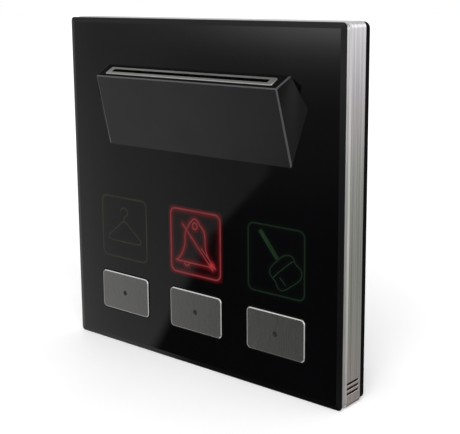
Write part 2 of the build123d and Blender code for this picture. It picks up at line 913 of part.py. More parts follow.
def header_outline(play=0.0):
    size = (header_width + 2 * play, header_height + 2 * play)
    return Pos(0, header_z) * Rectangle(*size)


def build_header():
    """The plug on the rear of the main board."""
    return upright(header_outline(), header_join_y, board_rear_y)


def build_socket():
    """The socket on the front of the power board."""
    return upright(header_outline(), power_board_y, header_join_y)


def build_back_plate():
    size = panel_size - 2 * back_plate_inset
    plate = upright(square_outline(size, back_plate_corner), 0, back_plate_front_y)
    rim_outer = panel_size - 2 * band_wall - 2 * rim_play
    rim_inner = rim_outer - 2 * rim_wall
    rim = Rectangle(rim_outer, rim_outer) - Rectangle(rim_inner, rim_inner)
    plate += upright(rim, back_plate_front_y, back_plate_front_y - rim_height)
    middle = (opening_top_z + opening_bottom_z) / 2
    size = (2 * opening_half_width, opening_top_z - opening_bottom_z)
    opening = Pos(0, middle) * Rectangle(*size)
    plate -= upright(opening, 1, back_plate_front_y - 1)
    plate -= upright(header_outline(header_opening_play), 1, back_plate_front_y - 1)
    for side in (-1, 1):
        slot = Pos(side * fixing_spacing / 2, 0) * SlotOverall(
            fixing_slot_length, 2 * fixing_hole_radius
        )
        plate -= upright(slot, 1, back_plate_front_y - 1)
    for x, z in housing_screw_places():
        plate -= housing_screw(x, z, screw_play)
    return plate


def housing_screw_places():
    sides = (-1, 1)
    return [(i * housing_screw_x, j * housing_screw_z) for i in sides for j in sides]


def housing_screw(x, z, play=0.0):
    """A flat-headed screw from the front of the back plate into the housing."""
    head_rear_y = back_plate_front_y + housing_head_radius - housing_screw_radius
    length = housing_boss_depth - 2 * housing_screw_room
    shank = small_bar(housing_screw_radius + play, length, back_plate_front_y, x, z)
    head = small_bar(housing_head_radius + play, head_rear_y, back_plate_front_y, x, z)
    slope = head_rear_y - back_plate_front_y - housing_head_land
    return shank + chamfer(head.edges().group_by(Axis.Y)[-1], slope)


def housing_outline(inset=0.0):
    """The housing's outline, notched at both sides for the lugs of the wall box."""
    size = (2 * (housing_half_width - inset), 2 * (housing_half_height - inset))
    outline = RectangleRounded(*size, housing_corner - inset)
    notch_size = (2 * (notch_depth + inset), 2 * (notch_half_height + inset))
    for side in (-1, 1):
        edge = side * housing_half_width
        outline -= Pos(edge, 0) * Rectangle(*notch_size)
    return outline


def build_housing():
    housing = upright(housing_outline(), housing_depth, 0)
    housing -= upright(housing_outline(housing_wall), housing_inner_y, -1)
    for x, z in housing_screw_places():
        housing += small_bar(housing_boss_radius, housing_boss_depth, 0, x, z)
    for x, z in power_post_places():
        housing += small_bar(power_post_radius, housing_inner_y + root_overlap, power_board_rear_y, x, z)
    for x, z in housing_screw_places():
        hole = housing_screw_radius + screw_play
        housing -= small_bar(hole, housing_boss_depth - housing_screw_room, -1, x, z)
    window = Pos(0, terminal_bottom_z + terminal_height / 2) * Rectangle(
        terminal_count * terminal_pitch + 2 * terminal_play, terminal_height + 2 * terminal_play
    )
    return housing - upright(window, housing_depth + 1, housing_inner_y - 1)


def power_post_places():
    x = power_board_half - power_post_radius
    z = power_board_bottom_z + power_post_rise
    return [(-x, z), (x, z)]


def build_power_board():
    height = power_board_top_z - power_board_bottom_z
    middle = (power_board_top_z + power_board_bottom_z) / 2
    outline = Pos(0, middle) * Rectangle(2 * power_board_half, height)
    return upright(outline, power_board_rear_y, power_board_y)


def build_relay():
    left = -power_board_half + part_gap
    low = power_board_bottom_z + 2 * power_post_radius + part_gap
    y_span = (power_board_rear_y, power_board_rear_y + relay_depth)
    return block((left, left + relay_width), y_span, (low, low + relay_height))


def build_supply():
    right = power_board_half - part_gap
    low = power_board_bottom_z + 2 * power_post_radius + part_gap
    y_span = (power_board_rear_y, power_board_rear_y + supply_depth)
    return block((right - supply_width, right), y_span, (low, low + relay_height))


def build_capacitor():
    x = power_board_half - part_gap - capacitor_radius
    z = power_board_top_z - part_gap - capacitor_radius
    end = min(power_board_rear_y + capacitor_length, terminal_front_y() - part_gap)
    return along_y(capacitor_radius, end, power_board_rear_y, x, z)


def terminal_front_y():
    return housing_depth - terminal_depth


def terminal_places():
    middle = (terminal_count - 1) / 2
    return [(i - middle) * terminal_pitch for i in range(terminal_count)]


def build_terminal_block():
    """A row of like modules, each with one wire entry and the well of its screw."""
    half = terminal_pitch / 2
    z_span = (terminal_bottom_z, terminal_bottom_z + terminal_height)
    screw_end = housing_depth - terminal_screw_depth - terminal_screw_sink
    hole = terminal_screw_radius + screw_play
    modules = []
    for x in terminal_places():
        module = block((x - half, x + half), (terminal_front_y(), housing_depth), z_span)
        module -= along_y(wire_radius, housing_depth + 1, housing_depth - wire_depth, x, wire_z)
        module -= small_bar(hole, housing_depth + 1, screw_end, x, terminal_screw_z)
        modules.append(module)
    return modules


def build_terminal_screws():
    rear = housing_depth - terminal_screw_sink
    screws = []
    for x in terminal_places():
        screw = small_bar(terminal_screw_radius, rear, rear - terminal_screw_depth, x, terminal_screw_z)
        slot_x = (x - terminal_screw_radius, x + terminal_screw_radius)
        slot_z = (terminal_screw_z - terminal_screw_slot / 2, terminal_screw_z + terminal_screw_slot / 2)
        screws.append(screw - block(slot_x, (rear - terminal_screw_slot, rear + 1), slot_z))
    return screws


def build_terminal_pins():
    half = terminal_pin_width / 2
    pins = []
    for x in terminal_places():
        z_span = (terminal_pin_z - half, terminal_pin_z + half)
        pins.append(block((x - half, x + half), (power_board_rear_y, terminal_front_y()), z_span))
    return pins


def build_clips():
    """Bent strips on the back plate, each with a bump that presses on the band's inside."""
    rim_inner = half_panel - band_wall - rim_play - rim_wall
    leg = rim_inner - clip_metal - clip_gap
    foot_y = back_plate_front_y
    top_y = foot_y - clip_height
    bump_y = top_y + clip_bump_drop
    points = [
        (leg - clip_foot, foot_y),
        (leg + clip_metal, foot_y),
        (leg + clip_metal, bump_y + clip_bump),
        (leg + clip_metal + clip_bump, bump_y),
        (leg + clip_metal, top_y),
        (leg, top_y),
        (leg + clip_bump - 2 * clip_gap, bump_y),
        (leg, bump_y + clip_bump),
        (leg, foot_y - clip_metal),
        (leg - clip_foot, foot_y - clip_metal),
    ]
    clips = []
    for side in (-1, 1):
        profile = make_face(Polyline(*[(side * x, y) for x, y in points], close=True).edges())
        for z in (-clip_z, clip_z):
            clips.append(extrude(Plane.XY.offset(z - clip_width / 2) * profile, amount=clip_width))
    return clips


def save(node, shape):
    """Write one node: a single solid, or a list of like solids as one group."""
    if isinstance(shape, list):
        group = Compound(children=[piece.solid() for piece in shape])
    else:
        group = shape.solid()
    export_step(group, f"parts/{node}.step")


def main():
    os.makedirs("parts", exist_ok=True)
    save("glass_front", build_glass())
    save("front_rim", build_front_rim())
    save("front_plate", build_front_plate())
    save("plate_studs", build_studs())
    save("side_band", build_band())
    save("card_holder", build_holder())
    save("slot_ring", build_ring())
    save("card_pocket", build_pocket())
    save("pocket_cover", build_pocket_cover())
    save("card_springs", build_card_springs())
    save("card_lever", build_lever())
    save("lever_pin", lever_pin_bar(lever_pin_radius))
    save("switch_body", build_switch_body())
    save("switch_plunger", plunger_bar(plunger_radius))
    save("switch_pins", build_switch_pins())
    for name, x in zip(column_names, columns):
        save(f"button_cap_{name}", build_button_cap(x))
        save(f"button_carrier_{name}", build_carrier(x))
        save(f"tact_body_{name}", build_tact_body(x))
        save(f"tact_stem_{name}", build_tact_stem(x))
        save(f"diffuser_{name}", build_diffuser(x))
        save(f"led_{name}", build_led(x))
    save("light_box", build_light_box())
    save("key_guide", build_key_guide())
    save("main_board", build_board())
    save("board_screws", build_board_screws())
    save("stud_nuts", build_stud_nuts())
    save("controller_chip", build_chip())
    save("room_sensor", build_sensor())
    save("board_header", build_header())
    save("power_socket", build_socket())
    save("back_plate", build_back_plate())
    save("panel_clips", build_clips())
    save("rear_housing", build_housing())
    save("housing_screws", [housing_screw(x, z) for x, z in housing_screw_places()])
    save("power_board", build_power_board())
    save("relay", build_relay())
    save("power_supply", build_supply())
    save("capacitor", build_capacitor())
    save("terminal_block", build_terminal_block())
    save("terminal_screws", build_terminal_screws())
    save("terminal_pins", build_terminal_pins())


main()
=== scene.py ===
"""Looks of the key card switch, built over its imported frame.

A black glass panel in a brushed steel band, with a slanted card holder, three steel push
buttons under three lit symbols, and the plate and housing that go into the wall.
Lengths are in metres; X runs to the right, Y into the wall and Z up.
"""

import math

import bpy
from bpy.props import FloatProperty, FloatVectorProperty, PointerProperty
from mathutils import Matrix, Vector
from mathutils.bvhtree import BVHTree


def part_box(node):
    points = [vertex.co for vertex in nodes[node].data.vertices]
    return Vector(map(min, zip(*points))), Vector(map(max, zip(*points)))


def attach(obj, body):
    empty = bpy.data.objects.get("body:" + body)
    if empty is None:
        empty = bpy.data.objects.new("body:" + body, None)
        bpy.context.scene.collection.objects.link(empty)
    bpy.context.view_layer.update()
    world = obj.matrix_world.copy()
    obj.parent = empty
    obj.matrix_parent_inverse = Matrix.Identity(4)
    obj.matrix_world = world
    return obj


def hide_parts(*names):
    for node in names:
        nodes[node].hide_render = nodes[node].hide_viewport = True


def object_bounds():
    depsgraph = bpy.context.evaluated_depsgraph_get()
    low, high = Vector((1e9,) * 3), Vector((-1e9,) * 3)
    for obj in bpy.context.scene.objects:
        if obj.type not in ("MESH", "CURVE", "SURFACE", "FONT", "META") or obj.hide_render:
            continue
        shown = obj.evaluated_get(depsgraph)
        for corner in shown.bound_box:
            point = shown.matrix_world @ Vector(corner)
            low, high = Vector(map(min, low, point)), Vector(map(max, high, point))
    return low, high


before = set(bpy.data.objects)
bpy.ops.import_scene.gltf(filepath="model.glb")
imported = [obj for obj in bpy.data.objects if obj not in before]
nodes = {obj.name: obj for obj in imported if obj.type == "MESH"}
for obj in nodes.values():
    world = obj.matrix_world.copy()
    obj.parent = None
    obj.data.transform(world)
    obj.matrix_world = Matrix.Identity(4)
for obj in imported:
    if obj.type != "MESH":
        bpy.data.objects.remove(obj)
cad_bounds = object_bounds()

bl_info = {
    "name": "Key card switch",
    "version": (1, 0, 0),
    "blender": (4, 5, 0),
    "location": "3D View > Sidebar > Card switch",
    "description": "Builds the key card switch over its packed frame",
    "category": "Object",
}

MM = 0.001
SIDES = ("left", "middle", "right")
TERMINALS = 5
# Points nearer than this are taken as one; TINY tells flat faces apart, MERGE joins points
NEAR = 0.01 * MM
TINY = 0.001 * MM
MERGE = 0.0005 * MM
# How far from the middle the holder's cheeks begin and end, and the corners of its foot begin
CHEEK_INNER = 31 * MM
CHEEK_OUTER = 33 * MM
FOOT_INNER = 30 * MM
# The pressed shell of a button
SHELL_WALL = 0.8 * MM
SHELL_DEPTH = 1.2 * MM
# The photograph's camera, in pixels of the photograph
PHOTO_WIDTH = 460
FOCAL_PIXELS = 972.8
SHIFT_PIXELS = -50
SENSOR_WIDTH = 36.0
CAMERA_DISTANCE = 253.1 * MM
# Painted reflection: the band's tints from foot to top, rosy, then greenish, then violet, stand in for the
# coloured room that the band mirrors
BAND_REFLECTION_TINTS = (
    (0.0, "#F2E8E4"),
    (0.22, "#F2E8E4"),
    (0.34, "#F2F3E9"),
    (0.8, "#F3F4EE"),
    (0.95, "#F7F0F6"),
    (1.0, "#F4F1F7"),
)
# A black matt skin, painted shade, on the glass's ground edge and on the ring's inner wall
PAINTED_SHADE_SKIN = {"roughness": 0.6, "grain": 0.3, "depth": 0.004, "shine": 0.1}
COLOUR = {"subtype": "COLOR", "size": 4}
CURVED, STRAIGHT = True, False
CLOSED, OPEN = True, False


# Colours and nodes


def linear(code):
    """An sRGB hex colour as the linear values that a shader takes."""
    values = []
    for start in (1, 3, 5):
        value = int(code[start:start + 2], 16) / 255
        values.append(value / 12.92 if value <= 0.04045 else ((value + 0.055) / 1.055) ** 2.4)
    return (*values, 1.0)


def add_node(tree, kind, inputs=None, stops=None, **settings):
    """Add one node. An input takes a constant or the socket that feeds it."""
    node = tree.nodes.new(kind)
    for key, value in settings.items():
        setattr(node, key, value)
    for key, value in (inputs or {}).items():
        if isinstance(value, bpy.types.NodeSocket):
            tree.links.new(value, node.inputs[key])
        else:
            node.inputs[key].default_value = value
    if stops:
        elements = node.color_ramp.elements
        for position, _ in stops[1:-1]:
            elements.new(position)
        for element, (position, colour) in zip(elements, stops):
            element.position = position
            element.color = colour
    return node


def new_material(name, **constants):
    """A material with its shader's fixed values, and its tree and shader to go on with."""
    material = bpy.data.materials.new(name)
    material.use_nodes = True
    tree = material.node_tree
    shader = tree.nodes["Principled BSDF"]
    for key, value in constants.items():
        shader.inputs[key.replace("_", " ").title().replace("Ior", "IOR")].default_value = value
    return material, tree, shader


def object_place(tree, scale=(1.0, 1.0, 1.0)):
    """Object coordinates stretched by a scale, in pattern repeats per metre."""
    place = add_node(tree, "ShaderNodeTexCoord")
    return add_node(tree, "ShaderNodeMapping", {"Vector": place.outputs["Object"], "Scale": scale})


def repeats(size):
    """Repeats per metre of a pattern whose grain is that many millimetres."""
    return 1.0 / (size * MM)


def grey(value):
    return (value, value, value, 1.0)


def toned(colour, factor):
    """A colour made darker or lighter by a factor."""
    return (*(min(1.0, channel * factor) for channel in colour[:3]), 1.0)


def clouds(tree, size, stops, detail=2.0, roughness=0.5):
    """Clouds of a size in millimetres: their values from 0 to 1 and the colours that they give."""
    values = {"Scale": repeats(size), "Detail": detail, "Roughness": roughness}
    values["Vector"] = object_place(tree).outputs[0]
    cloud = add_node(tree, "ShaderNodeTexNoise", values).outputs["Fac"]
    tone = add_node(tree, "ShaderNodeValToRGB", {"Fac": cloud}, stops=stops)
    return cloud, tone.outputs["Color"]


def satin(tree, shader, sheen, low, high, height, strength, depth):
    """Roughness from low to high that follows one pattern, and relief in mm that follows another."""
    limits = {"Value": sheen, "From Min": 0.3, "From Max": 0.7, "To Min": low, "To Max": high}
    rough = add_node(tree, "ShaderNodeMapRange", limits)
    tree.links.new(rough.outputs["Result"], shader.inputs["Roughness"])
    values = {"Strength": strength, "Distance": depth * MM, "Height": height}
    relief = add_node(tree, "ShaderNodeBump", values)
    tree.links.new(relief.outputs["Normal"], shader.inputs["Normal"])


# Materials


def brushed_steel(name, colour, *, grain, roughness, contrast, reflection_tints=None, relief=0.12):
    """Stainless steel brushed with a belt.

    The fine parallel scratches break a reflection into soft streaks along the brushing.
    A real scratch is a few hundredths of a millimetre; they are drawn coarser so that they show.
    grain is the scratch's size along X, Y and Z in millimetres.
    """
    material, tree, shader = new_material(name, metallic=1.0)
    place = object_place(tree, tuple(repeats(size) for size in grain))
    values = {"Vector": place.outputs[0], "Scale": 1.0, "Detail": 3.0, "Roughness": 0.65}
    scratch = add_node(tree, "ShaderNodeTexNoise", values).outputs["Fac"]
    stops = ((0.32, toned(colour, 1 - contrast)), (0.52, colour), (0.7, toned(colour, 1 + contrast)))
    surface = add_node(tree, "ShaderNodeValToRGB", {"Fac": scratch}, stops=stops).outputs["Color"]
    if reflection_tints:
        # Painted reflection: faint tints that drift from the foot to the top, standing in for the coloured
        # room mirrored in the steel
        slow = object_place(tree, (repeats(60), repeats(60), repeats(16)))
        drift = add_node(tree, "ShaderNodeTexNoise", {"Vector": slow.outputs[0], "Scale": 1.0, "Detail": 1.0})
        height = add_node(tree, "ShaderNodeSeparateXYZ", {"Vector": object_place(tree).outputs[0]})
        limits = {"Value": height.outputs["Z"], "From Min": cad_bounds[0][2], "From Max": cad_bounds[1][2]}
        share = add_node(tree, "ShaderNodeMapRange", limits)
        terms = {0: drift.outputs["Fac"], 1: 0.3, 2: share.outputs["Result"]}
        wander = add_node(tree, "ShaderNodeMath", terms, operation="MULTIPLY_ADD")
        tint = add_node(tree, "ShaderNodeValToRGB", {"Fac": wander.outputs[0]}, stops=reflection_tints)
        layers = {"Factor": 1.0, "A": surface, "B": tint.outputs["Color"]}
        mixed = add_node(tree, "ShaderNodeMix", layers, data_type="RGBA", blend_type="MULTIPLY")
        surface = mixed.outputs[2]
    tree.links.new(surface, shader.inputs["Base Color"])
    satin(tree, shader, scratch, roughness * 0.9, roughness * 1.1, scratch, relief, 0.02)
    return material


def moulded_plastic(name, colour, *, roughness, grain=0.35, depth=0.015, mottle=0.12, shine=0.5):
    """Thermoplastic from an eroded mould.

    The mould's fine grain scatters the light, so the surface looks satin and slightly speckled.
    A shine below 0.5 stands for a grain deep enough to swallow part of the reflection.
    grain is the speck's size and depth its height, in millimetres.
    """
    material, tree, shader = new_material(name, ior=1.49, specular_ior_level=shine)
    place = object_place(tree).outputs[0]
    fine = add_node(tree, "ShaderNodeTexNoise", {"Vector": place, "Scale": repeats(grain), "Detail": 2.0})
    slow = add_node(tree, "ShaderNodeTexNoise", {"Vector": place, "Scale": repeats(9), "Detail": 1.0})
    fine, slow = fine.outputs["Fac"], slow.outputs["Fac"]
    both = add_node(tree, "ShaderNodeMix", {"Factor": 0.4, "A": fine, "B": slow}, data_type="FLOAT")
    stops = ((0.35, toned(colour, 1 - mottle)), (0.65, toned(colour, 1 + mottle)))
    tone = add_node(tree, "ShaderNodeValToRGB", {"Fac": both.outputs[0]}, stops=stops)
    tree.links.new(tone.outputs["Color"], shader.inputs["Base Color"])
    satin(tree, shader, slow, roughness - 0.05, roughness + 0.05, fine, 0.5, depth)
    return material


def back_printed_glass(name, colour, glow=None):
    """Tempered float glass with black enamel fired on its rear.

    The enamel hides all behind it, and the polished front mirrors the room in a dark, clear
    reflection that wiped finger marks barely dull.
    """
    material, tree, shader = new_material(name, ior=1.5)
    stops = ((0.4, colour), (0.75, toned(colour, 1.5)))
    marks, tone = clouds(tree, 14, stops, detail=5.0, roughness=0.7)
    tree.links.new(tone, shader.inputs["Base Color"])
    limits = {"Value": marks, "From Min": 0.4, "From Max": 0.75, "To Min": 0.012, "To Max": 0.035}
    haze = add_node(tree, "ShaderNodeMapRange", limits)
    tree.links.new(haze.outputs["Result"], shader.inputs["Roughness"])
    if glow:
        # Light that spreads in the glass round a lit symbol, stored on the mesh
        spread = add_node(tree, "ShaderNodeAttribute", attribute_name="glow")
        tones = {"Factor": spread.outputs["Fac"], "A": linear("#000000"), "B": glow}
        light = add_node(tree, "ShaderNodeMix", tones, data_type="RGBA", clamp_factor=False)
        tree.links.new(light.outputs[2], shader.inputs["Emission Color"])
        shader.inputs["Emission Strength"].default_value = 1.0
    return material


def lit_line(name, colour):
    """The clear line of a symbol in the enamel, lit from behind by a lamp.

    The light is nearly even along the line, a little weaker where the diffuser is thick, and the
    matt line mirrors almost nothing.
    """
    material, tree, shader = new_material(name, ior=1.5, roughness=0.5, specular_ior_level=0.14)
    shader.inputs["Base Color"].default_value = linear("#020202")
    _, tone = clouds(tree, 5, ((0.35, toned(colour, 0.8)), (0.65, colour)), detail=1.0)
    tree.links.new(tone, shader.inputs["Emission Color"])
    shader.inputs["Emission Strength"].default_value = 1.0
    return material


def plated_metal(name, colour, *, roughness):
    """Zinc plating or plain drawn metal: even, slightly cloudy and half bright."""
    material, tree, shader = new_material(name, metallic=1.0)
    cloud, tone = clouds(tree, 1.2, ((0.35, toned(colour, 0.8)), (0.65, colour)), detail=3.0)
    tree.links.new(tone, shader.inputs["Base Color"])
    limits = {"Value": cloud, "To Min": roughness * 0.7, "To Max": roughness * 1.4}
    gloss = add_node(tree, "ShaderNodeMapRange", limits)
    tree.links.new(gloss.outputs["Result"], shader.inputs["Roughness"])
    return material


def solder_mask(name, colour):
    """Glass epoxy board under green solder mask, with copper tracks that show through it."""
    material, tree, shader = new_material(name, ior=1.5, roughness=0.3)
    place = object_place(tree, (repeats(5.0), repeats(5.0), repeats(2.2)))
    values = {"Vector": place.outputs[0], "Scale": 1.0, "Mortar Size": 0.04}
    tones = {"Color1": colour, "Color2": toned(colour, 1.25), "Mortar": toned(colour, 2.0)}
    tracks = add_node(tree, "ShaderNodeTexBrick", {**values, **tones})
    tree.links.new(tracks.outputs["Color"], shader.inputs["Base Color"])
    return material


def clear_coat_lamp(name, colour):
    """Lamp package: a pale moulding with a clear drop over the chip."""
    material, tree, shader = new_material(name, ior=1.5, roughness=0.15)
    _, tone = clouds(tree, 1.0, ((0.4, toned(colour, 0.85)), (0.6, colour)))
    tree.links.new(tone, shader.inputs["Base Color"])
    return material


# Modelling helpers


def deselect():
    if bpy.context.object and bpy.context.object.mode != "OBJECT":
        bpy.ops.object.mode_set(mode="OBJECT")
    bpy.ops.object.select_all(action="DESELECT")


def select_only(piece):
    deselect()
    piece.select_set(True)
    bpy.context.view_layer.objects.active = piece


def edit(piece, select="SELECT", kind="VERT"):
    """Enter edit mode on one piece with everything or nothing selected."""
    select_only(piece)
    bpy.ops.object.mode_set(mode="EDIT")
    bpy.ops.mesh.select_mode(type=kind)
    bpy.ops.mesh.select_all(action=select)


def choose_faces(piece, test):
    """Select the faces that pass a test of centre and normal, and stay in edit mode."""
    edit(piece, "DESELECT", "FACE")
    bpy.ops.object.mode_set(mode="OBJECT")
    for face in piece.data.polygons:
        face.select = test(face.center, face.normal)
    bpy.ops.object.mode_set(mode="EDIT")


def choose_edges(piece, test):
    """Select the edges that pass a test of their two ends, and stay in edit mode."""
    edit(piece, "DESELECT", "EDGE")
    bpy.ops.object.mode_set(mode="OBJECT")
    points = piece.data.vertices
    for edge in piece.data.edges:
        edge.select = test(points[edge.vertices[0]].co, points[edge.vertices[1]].co)
    bpy.ops.object.mode_set(mode="EDIT")


def settle():
    """Move the active piece's place, turn and scale into its mesh."""
    bpy.ops.object.transform_apply(location=True, rotation=True, scale=True)


def box_piece(name, low, high):
    """A block from its lowest to its highest corner, with its place in its mesh."""
    deselect()
    middle = (Vector(low) + Vector(high)) / 2
    bpy.ops.mesh.primitive_cube_add(size=1.0, location=middle)
    piece = bpy.context.object
    piece.name = name
    piece.scale = Vector(high) - Vector(low)
    settle()
    return piece


def apply_modifier(piece, kind, **settings):
    select_only(piece)
    modifier = piece.modifiers.new(kind.lower(), kind)
    for key, value in settings.items():
        setattr(modifier, key, value)
    bpy.ops.object.modifier_apply(modifier=modifier.name)


def cut(piece, cutter):
    """Cut one piece out of another and remove it."""
    apply_modifier(piece, "BOOLEAN", object=cutter, operation="DIFFERENCE", solver="EXACT")
    bpy.data.objects.remove(cutter)


def smooth_flat_faces_kept(piece, angle=35):
    """Shade the rounded edges smooth and keep the large faces as flat as they are."""
    select_only(piece)
    bpy.ops.object.shade_smooth_by_angle(angle=math.radians(angle))
    apply_modifier(piece, "WEIGHTED_NORMAL", mode="FACE_AREA", weight=100, keep_sharp=True)


def coat(piece, *materials):
    """Give a piece its materials. What each face already carries as its index stays."""
    kept = [face.material_index for face in piece.data.polygons]
    piece.data.materials.clear()
    for material in materials:
        piece.data.materials.append(material)
    for face, index in zip(piece.data.polygons, kept):
        face.material_index = min(index, len(materials) - 1)


def place_piece(piece, body, slot, *materials):
    """Give a finished piece its finish and its body. The slot is not used."""
    coat(piece, *materials)
    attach(piece, body)


def copied(node, name, leave_out=None):
    """A copy of a CAD node's mesh with its flat faces whole again, to be worked on.

    leave_out is a test of centre and normal for faces that the copy does without.
    """
    deselect()
    piece = bpy.data.objects.new(name, nodes[node].data.copy())
    bpy.context.scene.collection.objects.link(piece)
    if leave_out:
        choose_faces(piece, leave_out)
        bpy.ops.mesh.delete(type="FACE")
    edit(piece)
    bpy.ops.mesh.remove_doubles(threshold=MERGE)
    bpy.ops.mesh.dissolve_limited(angle_limit=math.radians(0.5))
    bpy.ops.object.mode_set(mode="OBJECT")
    return piece


def joined(pieces, name):
    """Several pieces as one."""
    deselect()
    for piece in pieces:
        piece.select_set(True)
    bpy.context.view_layer.objects.active = pieces[0]
    bpy.ops.object.join()
    piece = bpy.context.object
    piece.name = name
    return piece


def near_line(point, start, end):
    """Whether a point lies on the straight line between two others."""
    along = end - start
    share = (point - start).dot(along) / along.length_squared
    return -0.001 < share < 1.001 and (start + along * share - point).length < NEAR


def softened(node, name, body, slot, material, width, shade=35.0):
    """A CAD node with the small rounding that its real edges have, which catches the light."""
    piece = copied(node, name)
    faces = len(piece.data.polygons)
    sharp = math.radians(30)
    apply_modifier(piece, "BEVEL", width=width * MM, segments=2, limit_method="ANGLE", angle_limit=sharp)
    if len(piece.data.polygons) <= faces:
        raise RuntimeError(f"{name} got no rounding")
    smooth_flat_faces_kept(piece, shade)
    place_piece(piece, body, slot, material)
    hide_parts(node)
    return piece


def dress(material, *names):
    """Give CAD nodes whose shape is already right their finish."""
    for name in names:
        nodes[name].data.materials.clear()
        nodes[name].data.materials.append(material)


# Settings


class CardSwitchSizes(bpy.types.PropertyGroup):
    """Sizes that a user would change."""

    glass_rounding: FloatProperty(
        name="Glass edge", description="Rounding of the ground glass, mm", default=0.14, min=0.02, max=0.3
    )
    steel_rounding: FloatProperty(
        name="Steel edge", description="Broken edge of the steel band, mm", default=0.1, min=0.02, max=0.3
    )
    holder_rounding: FloatProperty(
        name="Holder edge", description="Rounding of the holder's edges, mm", default=0.3, min=0.05, max=0.6
    )
    button_corner: FloatProperty(
        name="Button corner", description="Corner radius of a button, mm", default=1.3, min=0.5, max=3.0
    )
    button_edge: FloatProperty(
        name="Button edge", description="Rounded front edge of a button, mm", default=0.36, min=0.1, max=0.8
    )
    dot_radius: FloatProperty(
        name="Button dot", description="Radius of a button's dimple, mm", default=0.75, min=0.1, max=1.0
    )
    symbol_line: FloatProperty(
        name="Symbol line", description="Width of a symbol's line, mm", default=0.4, min=0.1, max=1.0
    )
    frame_line: FloatProperty(
        name="Frame line", description="Width of a symbol's border, mm", default=0.46, min=0.1, max=1.0
    )
    glow_reach: FloatProperty(
        name="Glow reach", description="How far a lit line's light spreads, mm", default=0.9, min=0.2, max=3.0
    )


class CardSwitchColours(bpy.types.PropertyGroup):
    """Colours that a user would change."""

    glass: FloatVectorProperty(
        name="Glass", description="Enamel behind the glass", default=linear("#020203"), **COLOUR
    )
    steel: FloatVectorProperty(
        name="Steel", description="Brushed band and lip", default=linear("#D2D1CF"), **COLOUR
    )
    button: FloatVectorProperty(
        name="Button", description="Steel of the buttons", default=linear("#8E8D8B"), **COLOUR
    )
    holder: FloatVectorProperty(
        name="Holder", description="Satin lacquer of the holder", default=linear("#131314"), **COLOUR
    )
    left_symbol: FloatVectorProperty(
        name="Left symbol", description="Clothes hanger, unlit", default=linear("#303226"), **COLOUR
    )
    middle_symbol: FloatVectorProperty(
        name="Middle symbol", description="Bell, lit", default=linear("#7C3438"), **COLOUR
    )
    right_symbol: FloatVectorProperty(
        name="Right symbol", description="Broom, dim", default=linear("#0A1C0E"), **COLOUR
    )
    plastic: FloatVectorProperty(
        name="Rear plastic", description="Housing in the wall", default=linear("#101011"), **COLOUR
    )


def sizes():
    return bpy.context.scene.card_switch_sizes


def colours():
    return bpy.context.scene.card_switch_colours


# Operators, one for each piece or group of like pieces


class CARDSWITCH_OT_glass(bpy.types.Operator):
    """Front glass with its ground edge and enamelled rear"""

    bl_idname = "card_switch.glass"
    bl_label = "Glass panel"

    def execute(self, context):
        finish = back_printed_glass("TemperedGlass_Enamelled", tuple(colours().glass))
        # Painted shade: the ground edge is coloured black, and draws a thin dark shadow line round the glass
        edge = moulded_plastic("TemperedGlass_PaintedShadowEdge", linear("#020202"), **PAINTED_SHADE_SKIN)
        rounding = sizes().glass_rounding
        # The sloped border stays as flat as it is ground
        piece = softened("glass_front", "glass_panel", "panel", "black_glass", finish, rounding, shade=10.0)
        coat(piece, finish, edge)
        # All but the front and its slope
        for face in piece.data.polygons:
            if face.normal.y > -0.75:
                face.material_index = 1
        return {"FINISHED"}


class CARDSWITCH_OT_frame(bpy.types.Operator):
    """Brushed steel band round the sides and the lip behind the glass"""

    bl_idname = "card_switch.frame"
    bl_label = "Steel frame"

    def execute(self, context):
        steel = tuple(colours().steel)
        band = brushed_steel(
            "StainlessSteel_BeltBrushed",
            steel,
            grain=(60, 0.42, 60),
            roughness=0.24,
            contrast=0.2,
            reflection_tints=[(share, linear(code)) for share, code in BAND_REFLECTION_TINTS],
        )
        lip = brushed_steel(
            "StainlessSteel_PunchedEdge", steel, grain=(12, 0.5, 12), roughness=0.3, contrast=0.12
        )
        softened("side_band", "steel_band", "panel", "steel", band, sizes().steel_rounding)
        softened("front_rim", "steel_lip", "panel", "steel", lip, 0.06)
        dress(lip, "front_plate")
        return {"FINISHED"}


def clean_cheek(piece, side, glass_y):
    """Make one flared cheek of the holder a clean sheet between its four corners."""

    def on_cheek(centre, normal):
        out = centre.x * side
        outward = normal.x * side > 0.02 or out > CHEEK_OUTER
        return out > CHEEK_INNER and centre.y < glass_y + NEAR and normal.y < 0.5 and outward

    choose_faces(piece, on_cheek)
    bpy.ops.mesh.delete(type="FACE")
    bpy.ops.mesh.select_mode(type="EDGE")
    bpy.ops.mesh.select_non_manifold()
    bpy.ops.mesh.edge_face_add()
    bpy.ops.mesh.select_mode(type="FACE")
    bpy.ops.mesh.subdivide(number_cuts=9)
    bpy.ops.object.mode_set(mode="OBJECT")
    # The new cheek faces take the darker copy of the lacquer, painted shade
    for face in piece.data.polygons:
        if face.select:
            face.material_index = 3


def outermost(points, side):
    """The point farthest to one side, -1 for left and 1 for right."""
    return max(points, key=lambda point: point.x * side)


